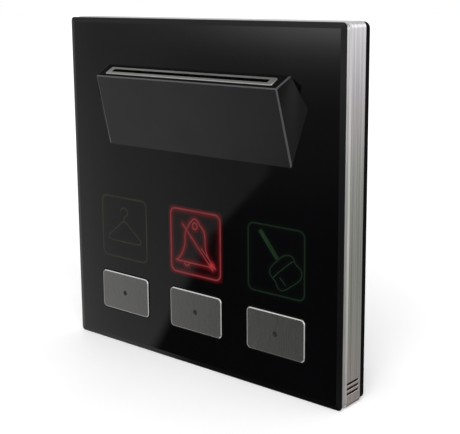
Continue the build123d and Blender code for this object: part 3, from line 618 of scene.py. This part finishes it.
class CARDSWITCH_OT_holder(bpy.types.Operator):
    """Slanted card holder with flared cheeks"""

    bl_idname = "card_switch.holder"
    bl_label = "Card holder"

    def execute(self, context):
        smooth = {"grain": 0.5, "depth": 0.002, "mottle": 0.05}
        lacquer = tuple(colours().holder)
        body = moulded_plastic("PolycarbonateABS_SatinLacquer", lacquer, roughness=0.16, shine=0.25, **smooth)
        # The edge material is a lighter grey: a painted highlight on the rounded edges
        edge = moulded_plastic("PolycarbonateABS_PaintedHighlightEdge", linear("#3E3E40"), roughness=0.22, **smooth)
        # The twisted cheeks carry a darker, duller copy of the lacquer: painted shade that keeps them evenly
        # dark and mirroring nothing sharply
        cheek = moulded_plastic(
            "PolycarbonateABS_ShadedCheekLacquer", linear("#101011"), roughness=0.42, shine=0.15, **smooth
        )
        # The seat of the slot ring stays matt black
        seat = moulded_plastic(
            "PolycarbonateABS_MattSeat", linear("#050505"), roughness=0.85, grain=0.4, depth=0.01, shine=0.12
        )
        piece = copied("card_holder", "card_holder_body")
        coat(piece, body, edge, seat, cheek)
        low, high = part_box("card_holder")
        glass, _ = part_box("glass_front")
        for side in (-1, 1):
            clean_cheek(piece, side, glass.y)
        # The edges that the photograph shows as light lines
        points = [vertex.co.copy() for vertex in piece.data.vertices]
        top = [point for point in points if point.z > high.z - NEAR]
        front = [point for point in points if point.y < low.y + NEAR]
        foot = [point for point in points if point.z < low.z + NEAR and abs(point.x) > FOOT_INNER]
        lines = [(outermost(row, -1), outermost(row, 1)) for row in (front, top)]
        for side in (-1, 1):
            corner = outermost(front, side)
            lines += [(outermost(top, side), corner), (corner, outermost(foot, side))]
        choose_edges(piece, lambda a, b: any(near_line(a, *line) and near_line(b, *line) for line in lines))
        # The rounding takes the lighter edge material, a painted highlight along each of these lines
        bpy.ops.mesh.bevel(
            offset=sizes().holder_rounding * MM, segments=3, affect="EDGES", clamp_overlap=False, material=1
        )
        bpy.ops.mesh.select_all(action="SELECT")
        bpy.ops.mesh.remove_doubles(threshold=0.004 * MM)
        bpy.ops.mesh.normals_make_consistent(inside=False)
        smooth_flat_faces_kept(piece)
        down_face = outermost(front, 1) - outermost(top, 1)
        down_face.x = 0
        slope = down_face.normalized().cross(Vector((1, 0, 0)))
        place_piece(piece, "panel", "dark_coat", body, edge, seat, cheek)
        for face in piece.data.polygons:
            if abs(face.normal.x) < 0.01 and abs(face.normal.dot(slope)) > 0.999:
                face.material_index = 2
        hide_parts("card_holder")
        return {"FINISHED"}


class CARDSWITCH_OT_ring(bpy.types.Operator):
    """Steel ring round the card slot"""

    bl_idname = "card_switch.ring"
    bl_label = "Slot ring"

    def execute(self, context):
        finish = brushed_steel(
            "StainlessSteel_FineBrushedRing",
            linear("#C2C1BE"),
            grain=(18, 0.35, 0.35),
            roughness=0.34,
            contrast=0.1,
        )
        piece = softened("slot_ring", "slot_trim_ring", "panel", "steel", finish, 0.05)
        # Painted shade: the punched inner wall is coloured black, as the slot's shade makes it look, so the
        # slot looks as wide as it is
        wall = moulded_plastic("StainlessSteel_PaintedShadeWall", linear("#040404"), **PAINTED_SHADE_SKIN)
        coat(piece, finish, wall)
        low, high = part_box("slot_ring")
        middle = (low + high) / 2
        for face in piece.data.polygons:
            inward = face.normal.dot(middle - face.center) > 0
            if inward and face.normal.z <= 0.5:
                face.material_index = 1
        return {"FINISHED"}


class CARDSWITCH_OT_buttons(bpy.types.Operator):
    """Three steel push buttons with rounded edges and a dimple in the centre"""

    bl_idname = "card_switch.buttons"
    bl_label = "Push buttons"

    def execute(self, context):
        finish = brushed_steel(
            "StainlessSteel_SatinBrushedDark",
            tuple(colours().button),
            grain=(0.12, 4, 4),
            roughness=0.28,
            contrast=0.01,
            relief=0.008,
        )
        dot = plated_metal("StainlessSteel_EtchedDot", linear("#4C4C4B"), roughness=0.5)
        # The rounded edge gets a much lighter steel, a painted highlight that draws a bright line round each
        # button
        rim = brushed_steel(
            "StainlessSteel_PaintedHighlightRim", linear("#DAD9D7"), grain=(0.4, 6, 6), roughness=0.2, contrast=0.04
        )
        corner = sizes().button_corner * MM
        radius = sizes().dot_radius * MM
        for side in SIDES:
            low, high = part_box(f"button_cap_{side}")
            middle = (low + high) / 2
            piece = box_piece(f"button_cap_{side}_brushed", low, high)
            coat(piece, finish, dot, rim)
            choose_edges(piece, lambda a, b: abs(a.y - b.y) > NEAR)
            bpy.ops.mesh.bevel(offset=corner, segments=10, affect="EDGES")
            choose_edges(piece, lambda a, b: max(a.y, b.y) < low.y + TINY)
            bpy.ops.mesh.bevel(offset=sizes().button_edge * MM, segments=4, affect="EDGES", material=2)
            # Hollow rear, as the pressed shell has
            choose_faces(piece, lambda centre, normal: normal.y > 0.99)
            bpy.ops.mesh.inset(thickness=SHELL_WALL)
            bpy.ops.mesh.extrude_region_move(TRANSFORM_OT_translate={"value": (0, -SHELL_DEPTH, 0)})
            deselect()
            # The ball stands so far out of the face that it cuts a dimple as wide as the dot
            bpy.ops.mesh.primitive_uv_sphere_add(
                segments=24,
                ring_count=12,
                radius=radius * 1.6,
                location=(middle.x, low.y - radius * 1.25, middle.z),
            )
            cut(piece, bpy.context.object)
            smooth_flat_faces_kept(piece, 40)
            place_piece(piece, f"button_{side}", "dark_steel", finish, dot, rim)
            for face in piece.data.polygons:
                away = math.hypot(face.center.x - middle.x, face.center.z - middle.z)
                in_dimple = away < radius * 1.01 and face.center.y < low.y + radius
                if in_dimple and face.area < 0.1 * MM * MM:
                    face.material_index = 1
            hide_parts(f"button_cap_{side}")
        return {"FINISHED"}


# The lines of each symbol: curved or straight, open or closed, and their points in millimetres
# from the symbol's centre
HANGER = (
    (CURVED, OPEN, (
        (-1.4, 4.7), (-1.3, 5.4), (-0.3, 5.95), (0.9, 5.6), (1.4, 4.95), (1.2, 4.1), (0.1, 3.2),
        (0, 1.9),
    )),
    (CURVED, CLOSED, (
        (0, 1.9), (-2.8, 0.1), (-5.6, -2.1), (-6.5, -3.0), (-6.4, -3.8), (-5.2, -4.05), (-2.6, -4.1),
        (2.6, -4.1), (5.2, -4.05), (6.4, -3.8), (6.5, -3.0), (5.6, -2.1), (2.8, 0.1),
    )),
)
BELL = (
    (CURVED, OPEN, (
        (-7.1, -5.7), (-5.7, -4.6), (-4.5, -2.6), (-3.8, -0.7), (-3.6, 2.5), (-2.6, 4.4), (-1.5, 5.8),
        (-0.2, 6.8), (0.7, 6.5), (1.8, 5.3), (3.2, 3.8), (3.6, 1.9), (3.7, -0.7), (4.4, -2.7),
        (5.7, -4.5), (7.1, -5.7),
    )),
    (STRAIGHT, OPEN, ((-7.0, -5.73), (7.0, -5.73))),
    (CURVED, CLOSED, ((-0.9, 4.85), (-0.1, 5.75), (0.75, 4.85), (-0.1, 3.95))),
    (CURVED, OPEN, ((-4.1, -5.8), (-3.9, -6.4), (-3.2, -6.7), (-2.4, -6.3), (-2.1, -5.8))),
    (STRAIGHT, OPEN, ((-4.6, 4.9), (6.4, -6.6))),
    (STRAIGHT, OPEN, ((2.2, -1.0), (7.3, -6.1))),
)
BROOM = (
    (CURVED, OPEN, (
        (-1.0, -4.7), (-1.9, -3.6), (-1.9, -2.6), (-1.0, -1.25), (0.6, 0.2), (2.1, 1.5), (3.7, 2.1),
        (5.1, 2.0), (5.75, 1.1), (4.9, 0.5),
    )),
    (STRAIGHT, OPEN, ((-0.95, -4.65), (0.7, -3.0), (2.5, -1.5), (4.85, 0.45))),
    (CURVED, OPEN, (
        (-0.97, -4.74), (0.05, -5.7), (0.6, -6.9), (1.8, -7.5), (3.2, -7.0), (4.9, -5.8), (6.6, -4.6),
        (8.0, -3.0), (8.2, -1.7), (7.45, -0.6), (6.3, 0.2), (5.78, 1.06),
    )),
    (STRAIGHT, OPEN, ((1.3, -4.2), (3.2, -6.0))),
)
HANDLE = (STRAIGHT, OPEN, ((-5.1, 7.4), (0.55, 0.55)))
HANDLE_LINE = 1.3
# The border round each symbol: half its side and its corner radius, in millimetres
BORDER_HALF = 9.0
BORDER_CORNER = 1.8
# Where the bell's lamp shines through: x and z from the centre and radius in mm, and strength
BELL_SPOT = (5.9, -5.3, 0.85, 6.0)
# The skin that carries the glow: its thickness, its gap to the glass, its margin past the diffuser
SKIN_THICKNESS = 0.002 * MM
SKIN_GAP = 0.004 * MM
SKIN_MARGIN = 1.2 * MM


def rounded_square(half, corner, steps=6):
    """Points round a square with rounded corners."""
    points = []
    centre = half - corner
    for turn in range(4):
        centre_x = centre * (1 if turn in (0, 3) else -1)
        centre_z = centre * (1 if turn in (0, 1) else -1)
        for i in range(steps + 1):
            angle = turn * math.pi / 2 + i / steps * math.pi / 2
            points.append((centre_x + corner * math.cos(angle), centre_z + corner * math.sin(angle)))
    return points


def stroke(curve, points, smooth, closed):
    """One line of a symbol, in millimetres from the symbol's centre."""
    spline = curve.splines.new("BEZIER" if smooth else "POLY")
    if smooth:
        spline.bezier_points.add(len(points) - 1)
        for place, (x, z) in zip(spline.bezier_points, points):
            place.co = (x * MM, 0, z * MM)
            place.handle_left_type = "AUTO"
            place.handle_right_type = "AUTO"
    else:
        spline.points.add(len(points) - 1)
        for place, (x, z) in zip(spline.points, points):
            place.co = (x * MM, 0, z * MM, 1)
    spline.use_cyclic_u = closed


def line_piece(name, strokes, width, centre, front_y, material):
    """Flat raised lines just proud of the glass, as thick as the ink of a print."""
    deselect()
    curve = bpy.data.curves.new(name, "CURVE")
    curve.dimensions = "3D"
    curve.resolution_u = 6
    curve.bevel_depth = width * MM / 2
    curve.bevel_resolution = 2
    curve.use_fill_caps = True
    for smooth, closed, points in strokes:
        stroke(curve, points, smooth, closed)
    piece = bpy.data.objects.new(name, curve)
    bpy.context.scene.collection.objects.link(piece)
    select_only(piece)
    bpy.ops.object.convert(target="MESH")
    piece = bpy.context.object
    # The round line is pressed flat
    piece.scale = (1, 0.06, 1)
    piece.location = (centre[0], front_y, centre[1])
    settle()
    edit(piece)
    bpy.ops.mesh.remove_doubles(threshold=MERGE)
    bpy.ops.mesh.normals_make_consistent(inside=False)
    bpy.ops.object.mode_set(mode="OBJECT")
    place_piece(piece, "panel", "diffuser", material)
    return piece


def glow_sheet(name, low_y, centre, half, lines, material, spot=None):
    """A thin skin of the glass round a symbol that carries the spread of its light.

    spot is where a lamp shines through more strongly: x and z from the centre, radius and strength.
    """
    deselect()
    bpy.ops.mesh.primitive_grid_add(
        x_subdivisions=96,
        y_subdivisions=96,
        size=2 * half,
        location=(centre[0], low_y, centre[1]),
        rotation=(math.pi / 2, 0, 0),
    )
    piece = bpy.context.object
    piece.name = name
    settle()
    graph = bpy.context.evaluated_depsgraph_get()
    trees = [BVHTree.FromObject(line, graph) for line in lines]
    reach = sizes().glow_reach * MM
    glow = piece.data.attributes.new("glow", "FLOAT", "POINT")
    for vertex in piece.data.vertices:
        across = vertex.co.x - centre[0]
        upward = vertex.co.z - centre[1]
        away = min(tree.find_nearest(vertex.co)[3] for tree in trees) / reach
        # A bright core close to the line and a weaker, wider spread
        value = 0.5 * math.exp(-((away / 0.7) ** 2)) + 0.3 * math.exp(-away)
        if spot:
            spot_x, spot_z, radius, strength = spot
            off = math.hypot(across - spot_x * MM, upward - spot_z * MM)
            value += strength * math.exp(-((off / (radius * MM)) ** 2))
        # The light dies out before the sheet's edge
        edge = half - max(abs(across), abs(upward))
        glow.data[vertex.index].value = value * min(1.0, max(0.0, edge / (0.8 * MM)))
    apply_modifier(piece, "SOLIDIFY", thickness=SKIN_THICKNESS, offset=-1)
    place_piece(piece, "panel", "black_glass", material)


class CARDSWITCH_OT_symbols(bpy.types.Operator):
    """Hanger, bell and broom symbols that light up in the glass"""

    bl_idname = "card_switch.symbols"
    bl_label = "Lit symbols"

    def execute(self, context):
        glass_low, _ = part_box("glass_front")
        front_y = glass_low.y
        enamel = tuple(colours().glass)
        border = (STRAIGHT, CLOSED, rounded_square(BORDER_HALF, BORDER_CORNER))
        # Painted light: the hanger is unlit, yet its line and its halo emit a faint olive glow
        looks = {
            "left": ("hanger", HANGER, colours().left_symbol, "#040502", None),
            "middle": ("bell", BELL, colours().middle_symbol, "#5A0C10", BELL_SPOT),
            "right": ("broom", BROOM, colours().right_symbol, "#020A04", None),
        }
        for side, (name, strokes, tone, halo, spot) in looks.items():
            low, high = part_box(f"diffuser_{side}")
            centre = ((low.x + high.x) / 2, (low.z + high.z) / 2)
            lit = lit_line(f"LitEnamel_{name.title()}", tuple(tone))
            lines = [
                line_piece(f"symbol_{name}_frame", [border], sizes().frame_line, centre, front_y, lit),
                line_piece(f"symbol_{name}", strokes, sizes().symbol_line, centre, front_y, lit),
            ]
            if name == "broom":
                dim = lit_line("LitEnamel_BroomHandle", linear("#0B260E"))
                lines.append(line_piece("symbol_broom_handle", [HANDLE], HANDLE_LINE, centre, front_y, dim))
            skin = back_printed_glass(f"TemperedGlass_Lit_{name.title()}", enamel, linear(halo))
            half = (high.x - low.x) / 2 + SKIN_MARGIN
            glow_sheet(f"glow_{name}", front_y - SKIN_GAP, centre, half, lines, skin, spot)
        return {"FINISHED"}


class CARDSWITCH_OT_back(bpy.types.Operator):
    """Back plate and the housing that goes into the wall box"""

    bl_idname = "card_switch.back"
    bl_label = "Back plate and housing"

    def execute(self, context):
        plate = moulded_plastic(
            "Polycarbonate_EtchedMould", linear("#080808"), roughness=0.6, grain=0.45, depth=0.02, shine=0.02
        )
        plastic = tuple(colours().plastic)
        housing = moulded_plastic(
            "Polyamide_GlassFilled", plastic, roughness=0.55, grain=0.6, depth=0.03, mottle=0.2, shine=0.35
        )
        softened("back_plate", "back_plate_moulding", "panel", "black_plastic", plate, 0.12)
        softened("rear_housing", "rear_housing_moulding", "panel", "black_plastic", housing, 0.3)
        return {"FINISHED"}


class CARDSWITCH_OT_terminals(bpy.types.Operator):
    """Screw terminals with round slotted screws"""

    bl_idname = "card_switch.terminals"
    bl_label = "Terminals"

    def execute(self, context):
        green = moulded_plastic(
            "Polyamide_TerminalGreen", linear("#2C6B45"), roughness=0.4, grain=0.5, depth=0.01, mottle=0.1
        )
        low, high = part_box("terminal_block")
        width = (high.x - low.x) / TERMINALS
        modules = []
        for i in range(TERMINALS):
            middle = low.x + (i + 0.5) * width

            def other_module(centre, normal):
                away = centre.x - middle
                on_wall = abs(abs(away) - width / 2) < TINY
                return abs(away) > width / 2 + TINY or (on_wall and normal.x * away < 0)

            module = copied("terminal_block", f"terminal_module_{i + 1}", other_module)
            apply_modifier(module, "BEVEL", width=0.2 * MM, segments=2, limit_method="ANGLE")
            modules.append(module)
        block = joined(modules, "terminal_modules")
        smooth_flat_faces_kept(block, 12)
        place_piece(block, "panel", "terminal_plastic", green)
        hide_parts("terminal_block")
        zinc = plated_metal("Steel_ZincPlated", linear("#C9C8C2"), roughness=0.32)
        # Painted shade: the floor of each slot is coloured darker, where the slot's shade falls
        floor = plated_metal("Steel_ZincPlated_ShadedSlotFloor", linear("#3A3A38"), roughness=0.6)
        low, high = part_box("terminal_screws")
        radius = (high.z - low.z) / 2
        pitch = (high.x - low.x - 2 * radius) / (TERMINALS - 1)
        screws = []
        for i in range(TERMINALS):
            deselect()
            x = low.x + radius + i * pitch
            z = (low.z + high.z) / 2
            bpy.ops.mesh.primitive_cylinder_add(
                vertices=32,
                radius=radius,
                depth=high.y - low.y,
                location=(x, (low.y + high.y) / 2, z),
                rotation=(math.pi / 2, 0, 0),
            )
            screw = bpy.context.object
            settle()
            choose_edges(screw, lambda a, b: min(a.y, b.y) > high.y - TINY)
            bpy.ops.mesh.bevel(offset=0.25 * MM, segments=3, affect="EDGES")
            # The slot is 0.7 mm wide and 0.8 mm deep, and each screw was left at its own turn
            turn = math.radians(20 + 37 * i)
            deselect()
            bpy.ops.mesh.primitive_cube_add(size=1.0, location=(x, high.y, z), rotation=(0, turn, 0))
            cutter = bpy.context.object
            cutter.scale = (radius * 3, 1.6 * MM, 0.7 * MM)
            cut(screw, cutter)
            screws.append(screw)
        piece = joined(screws, "terminal_screw_heads")
        smooth_flat_faces_kept(piece)
        place_piece(piece, "panel", "zinc", zinc, floor)
        for face in piece.data.polygons:
            if face.normal.y > 0.9 and face.center.y < high.y - 0.5 * MM:
                face.material_index = 1
        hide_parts("terminal_screws")
        return {"FINISHED"}


class CARDSWITCH_OT_inside(bpy.types.Operator):
    """Finishes of the parts inside, whose shapes are right as they are"""

    bl_idname = "card_switch.inside"
    bl_label = "Parts inside"

    def execute(self, context):
        black = moulded_plastic("PBT_Moulded_Black", linear("#161617"), roughness=0.5, grain=0.4, depth=0.012)
        white = moulded_plastic(
            "Acetal_Moulded_White", linear("#DAD8D2"), roughness=0.4, grain=0.5, depth=0.01, mottle=0.05
        )
        zinc = plated_metal("Steel_ZincPlated_Small", linear("#C4C3BD"), roughness=0.35)
        spring = plated_metal("SpringSteel_ColdRolled", linear("#B5B6B8"), roughness=0.28)
        brass = plated_metal("Brass_Tinned", linear("#C9AE6A"), roughness=0.3)
        board = solder_mask("GlassEpoxy_SolderMask", linear("#12482A"))
        opal = moulded_plastic(
            "Acrylic_Opal", linear("#C9C9C5"), roughness=0.35, grain=0.6, depth=0.004, mottle=0.04
        )
        lamp = clear_coat_lamp("LampPackage_ClearCast", linear("#E6E2D0"))
        blue = moulded_plastic(
            "PBT_Moulded_Blue", linear("#26508F"), roughness=0.32, grain=0.5, depth=0.006, mottle=0.06
        )
        can = plated_metal("Aluminium_DeepDrawn", linear("#C5C6C9"), roughness=0.25)
        dress(black, "card_pocket", "pocket_cover", "switch_body", "key_guide", "controller_chip")
        dress(black, "room_sensor", "board_header", "power_socket", "power_supply")
        dress(white, "card_lever", "switch_plunger", "light_box")
        dress(zinc, "plate_studs", "stud_nuts", "board_screws", "housing_screws")
        dress(spring, "card_springs", "lever_pin", "switch_pins", "panel_clips")
        dress(brass, "terminal_pins")
        dress(board, "main_board", "power_board")
        dress(blue, "relay")
        dress(can, "capacitor")
        for side in SIDES:
            dress(black, f"button_carrier_{side}", f"tact_body_{side}", f"tact_stem_{side}")
            dress(opal, f"diffuser_{side}")
            dress(lamp, f"led_{side}")
        return {"FINISHED"}


def studio_world():
    """A white cove that lights evenly, and mirrors as large soft boxes and a dark flag."""
    world = bpy.data.worlds.new("soft_studio")
    bpy.context.scene.world = world
    world.use_nodes = True
    tree = world.node_tree
    background = tree.nodes["Background"]
    way = add_node(tree, "ShaderNodeTexCoord")
    axes = add_node(tree, "ShaderNodeSeparateXYZ", {"Vector": way.outputs["Generated"]})
    x, y, z = axes.outputs

    def graph(value, start, end, tones):
        """A tone read from even steps between two values."""
        share = add_node(tree, "ShaderNodeMapRange", {"Value": value, "From Min": start, "From Max": end})
        last = len(tones) - 1
        stops = [(i / last, grey(tone)) for i, tone in enumerate(tones)]
        tone = add_node(tree, "ShaderNodeValToRGB", {"Fac": share.outputs["Result"]}, stops=stops)
        return tone.outputs["Color"]

    def over(below, above, *borders):
        """One tone laid softly over another past every border: a value, its start and its end."""
        cover = 1.0
        for value, start, end in borders:
            limits = {"Value": value, "From Min": start, "From Max": end}
            step = add_node(tree, "ShaderNodeMapRange", limits, interpolation_type="SMOOTHSTEP")
            shares = {0: step.outputs["Result"], 1: cover}
            cover = add_node(tree, "ShaderNodeMath", shares, operation="MULTIPLY").outputs[0]
        tones = {"Factor": cover, "A": below, "B": above}
        return add_node(tree, "ShaderNodeMix", tones, data_type="FLOAT").outputs[0]

    # Large soft box to the left, brighter at its outer end and towards the floor
    lean = add_node(tree, "ShaderNodeMath", {0: z, 1: 0.19, 2: x}, operation="MULTIPLY_ADD").outputs[0]
    soft_box = graph(lean, -0.78, -0.66, (0.54, 0.42, 0.35, 0.33, 0.31, 0.275, 0.245, 0.22, 0.2))
    fall = graph(z, -0.38, -0.05, (1.5, 1.2, 1.05, 1.0, 0.95, 0.85))
    soft_box = add_node(tree, "ShaderNodeMath", {0: soft_box, 1: fall}, operation="MULTIPLY").outputs[0]
    # Black flag beside it
    dark = graph(z, -0.32, -0.08, (0.03, 0.03, 0.045, 0.085, 0.11, 0.2))
    edge = graph(z, -0.37, -0.19, (0.036, 0.046, 0.058, 0.095))
    edge = add_node(tree, "ShaderNodeMath", {0: edge, 1: 0.697}, operation="SUBTRACT").outputs[0]
    past = add_node(tree, "ShaderNodeMath", {0: x, 1: edge}, operation="SUBTRACT").outputs[0]
    front = over(soft_box, dark, (past, -0.006, 0.006))
    # Light from above that grazes the top of the glass, stronger to the right
    along = graph(x, -0.74, -0.56, (0.02, 0.05, 0.14, 0.24, 0.4, 0.62, 0.84, 1.08, 1.28, 1.5))
    down = graph(z, -0.11, -0.035, (0.0, 0.01, 0.05, 0.14, 0.33, 0.68, 1.02))
    terms = {0: along, 1: down, 2: front}
    front = add_node(tree, "ShaderNodeMath", terms, operation="MULTIPLY_ADD").outputs[0]
    # The pale table below, seen by the holder's front
    table = graph(x, -0.73, -0.56, (0.72, 0.8, 0.76, 0.62, 0.48, 0.38))
    front = over(front, table, (z, -0.41, -0.45))
    # The dim floor nearer the part, seen by the lower slope of the glass
    dim_floor = graph(x, -0.72, -0.6, (0.5, 0.48, 0.42, 0.1, 0.05))
    front = over(front, dim_floor, (z, -0.545, -0.575))
    # The ceiling box above, seen by the upper edges
    ceiling = graph(z, 0.12, 0.5, (0.4, 0.42, 0.45, 0.9, 1.5))
    front = over(front, ceiling, (z, 0.02, 0.12))
    # Beside the flag, the dim room
    room = graph(z, -0.45, 0.2, (0.2, 0.12, 0.16, 0.26, 0.5, 0.5, 0.36, 0.3))
    front = over(front, room, (x, -0.46, -0.34))
    front = over(front, 0.9, (z, 0.45, 0.62))
    # To the right, the wall that the band mirrors: bright high up and dimmer towards the floor
    right = graph(z, -0.46, 0.02, (0.42, 0.36, 0.27, 0.42, 0.72, 1.6))
    near = graph(z, -0.55, 0.05, (0.25, 0.5, 0.8, 0.95, 1.2))
    whole = over(front, over(near, right, (y, 0.3, 0.5)), (x, 0.15, 0.35))
    # The lit floor close by, seen by the lower edges
    whole = over(whole, 0.7, (z, -0.62, -0.74), (x, -0.5, -0.35))
    # Behind, the white cove, dimmer below the horizon where the part shades the floor
    cove = graph(z, -0.4, 0.02, (0.12, 0.2, 0.4, 0.8))
    whole = over(whole, cove, (y, 0.02, 0.2), (x, 0.3, 0.1))
    # Only reflections see all this. The rest is lit evenly, and the background is white
    path = add_node(tree, "ShaderNodeLightPath")
    lit = 0.72
    for ray, tone in (("Is Glossy Ray", whole), ("Is Transmission Ray", 1.0), ("Is Camera Ray", 1.0)):
        tones = {"Factor": path.outputs[ray], "A": lit, "B": tone}
        lit = add_node(tree, "ShaderNodeMix", tones, data_type="FLOAT").outputs[0]
    tree.links.new(lit, background.inputs["Color"])


def pale_floor(height):
    """The cove's painted floor, which keeps the part's soft shadow."""
    deselect()
    bpy.ops.mesh.primitive_plane_add(size=6.0, location=(0, 0, height))
    floor = bpy.context.object
    floor.name = "floor"
    material, tree, shader = new_material("PaintedCove_Matt", roughness=0.6)
    _, tone = clouds(tree, 40, ((0.3, linear("#F7F7F7")), (0.7, linear("#FAFAFA"))))
    tree.links.new(tone, shader.inputs["Base Color"])
    # Painted light and shade: the floor's emission is weaker near the part, a painted shade that keeps its
    # shadow, and stronger away from it, which whitens the floor
    place = object_place(tree).outputs[0]
    away = add_node(tree, "ShaderNodeVectorMath", {0: place}, operation="LENGTH").outputs["Value"]
    limits = {"Value": away, "From Min": 0.1, "From Max": 0.45, "To Min": 0.14, "To Max": 0.45}
    glow = add_node(tree, "ShaderNodeMapRange", limits)
    shader.inputs["Emission Color"].default_value = linear("#FFFFFF")
    tree.links.new(glow.outputs["Result"], shader.inputs["Emission Strength"])
    floor.data.materials.append(material)
    floor.visible_glossy = False


def key_light():
    """A soft square light from the upper right, in front."""
    deselect()
    bpy.ops.object.light_add(type="AREA", location=(0.32, -0.42, 0.5))
    light = bpy.context.object
    light.name = "key_light"
    light.data.shape = "SQUARE"
    light.data.size = 0.45
    light.data.energy = 3.2
    light.rotation_euler = (-light.location).to_track_quat("-Z", "Y").to_euler()
    light.visible_glossy = False


def photo_camera():
    """The camera at the photograph's place, turned 40 degrees and looking down 10."""
    azimuth, elevation, roll = math.radians(40.04), math.radians(10.46), math.radians(-0.437)
    flat = math.cos(elevation)
    ahead = Vector((-math.sin(azimuth) * flat, math.cos(azimuth) * flat, -math.sin(elevation)))
    level = Vector((math.cos(azimuth), math.sin(azimuth), 0))
    upward = level.cross(ahead)
    right = level * math.cos(roll) + upward * math.sin(roll)
    up = upward * math.cos(roll) - level * math.sin(roll)
    target = Vector((12.61, -10.5, 10.06)) * MM
    bpy.ops.object.camera_add(location=target - ahead * CAMERA_DISTANCE)
    camera = bpy.context.object
    camera.rotation_euler = Matrix((right, up, -ahead)).transposed().to_euler()
    camera.data.sensor_width = SENSOR_WIDTH
    camera.data.lens = FOCAL_PIXELS / PHOTO_WIDTH * SENSOR_WIDTH
    camera.data.shift_y = SHIFT_PIXELS / PHOTO_WIDTH
    camera.data.clip_start = 0.01
    camera.data.clip_end = 20.0
    bpy.context.scene.camera = camera


class CARDSWITCH_OT_stage(bpy.types.Operator):
    """Pale floor, soft studio light and the camera"""

    bl_idname = "card_switch.stage"
    bl_label = "Stage"

    def execute(self, context):
        studio_world()
        low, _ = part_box("side_band")
        pale_floor(low.z)
        key_light()
        photo_camera()
        bpy.context.scene.view_settings.view_transform = "Standard"
        return {"FINISHED"}


class CARDSWITCH_PT_panel(bpy.types.Panel):
    """Steps that build the switch"""

    bl_label = "Card switch"
    bl_idname = "CARDSWITCH_PT_panel"
    bl_space_type = "VIEW_3D"
    bl_region_type = "UI"
    bl_category = "Card switch"

    def draw(self, context):
        layout = self.layout
        for group in (context.scene.card_switch_sizes, context.scene.card_switch_colours):
            for name in group.__annotations__:
                layout.prop(group, name)
        for step in STEPS:
            layout.operator(step.bl_idname)


STEPS = (
    CARDSWITCH_OT_glass,
    CARDSWITCH_OT_frame,
    CARDSWITCH_OT_holder,
    CARDSWITCH_OT_ring,
    CARDSWITCH_OT_buttons,
    CARDSWITCH_OT_symbols,
    CARDSWITCH_OT_back,
    CARDSWITCH_OT_terminals,
    CARDSWITCH_OT_inside,
    CARDSWITCH_OT_stage,
)
CLASSES = (CardSwitchSizes, CardSwitchColours, *STEPS, CARDSWITCH_PT_panel)


def register():
    for cls in CLASSES:
        bpy.utils.register_class(cls)
    bpy.types.Scene.card_switch_sizes = PointerProperty(type=CardSwitchSizes)
    bpy.types.Scene.card_switch_colours = PointerProperty(type=CardSwitchColours)


def unregister():
    del bpy.types.Scene.card_switch_colours
    del bpy.types.Scene.card_switch_sizes
    for cls in reversed(CLASSES):
        bpy.utils.unregister_class(cls)


def main():
    register()
    bpy.ops.card_switch.glass()
    bpy.ops.card_switch.frame()
    bpy.ops.card_switch.holder()
    bpy.ops.card_switch.ring()
    bpy.ops.card_switch.buttons()
    bpy.ops.card_switch.symbols()
    bpy.ops.card_switch.back()
    bpy.ops.card_switch.terminals()
    bpy.ops.card_switch.inside()
    bpy.ops.card_switch.stage()


if __name__ == "__main__":
    main()
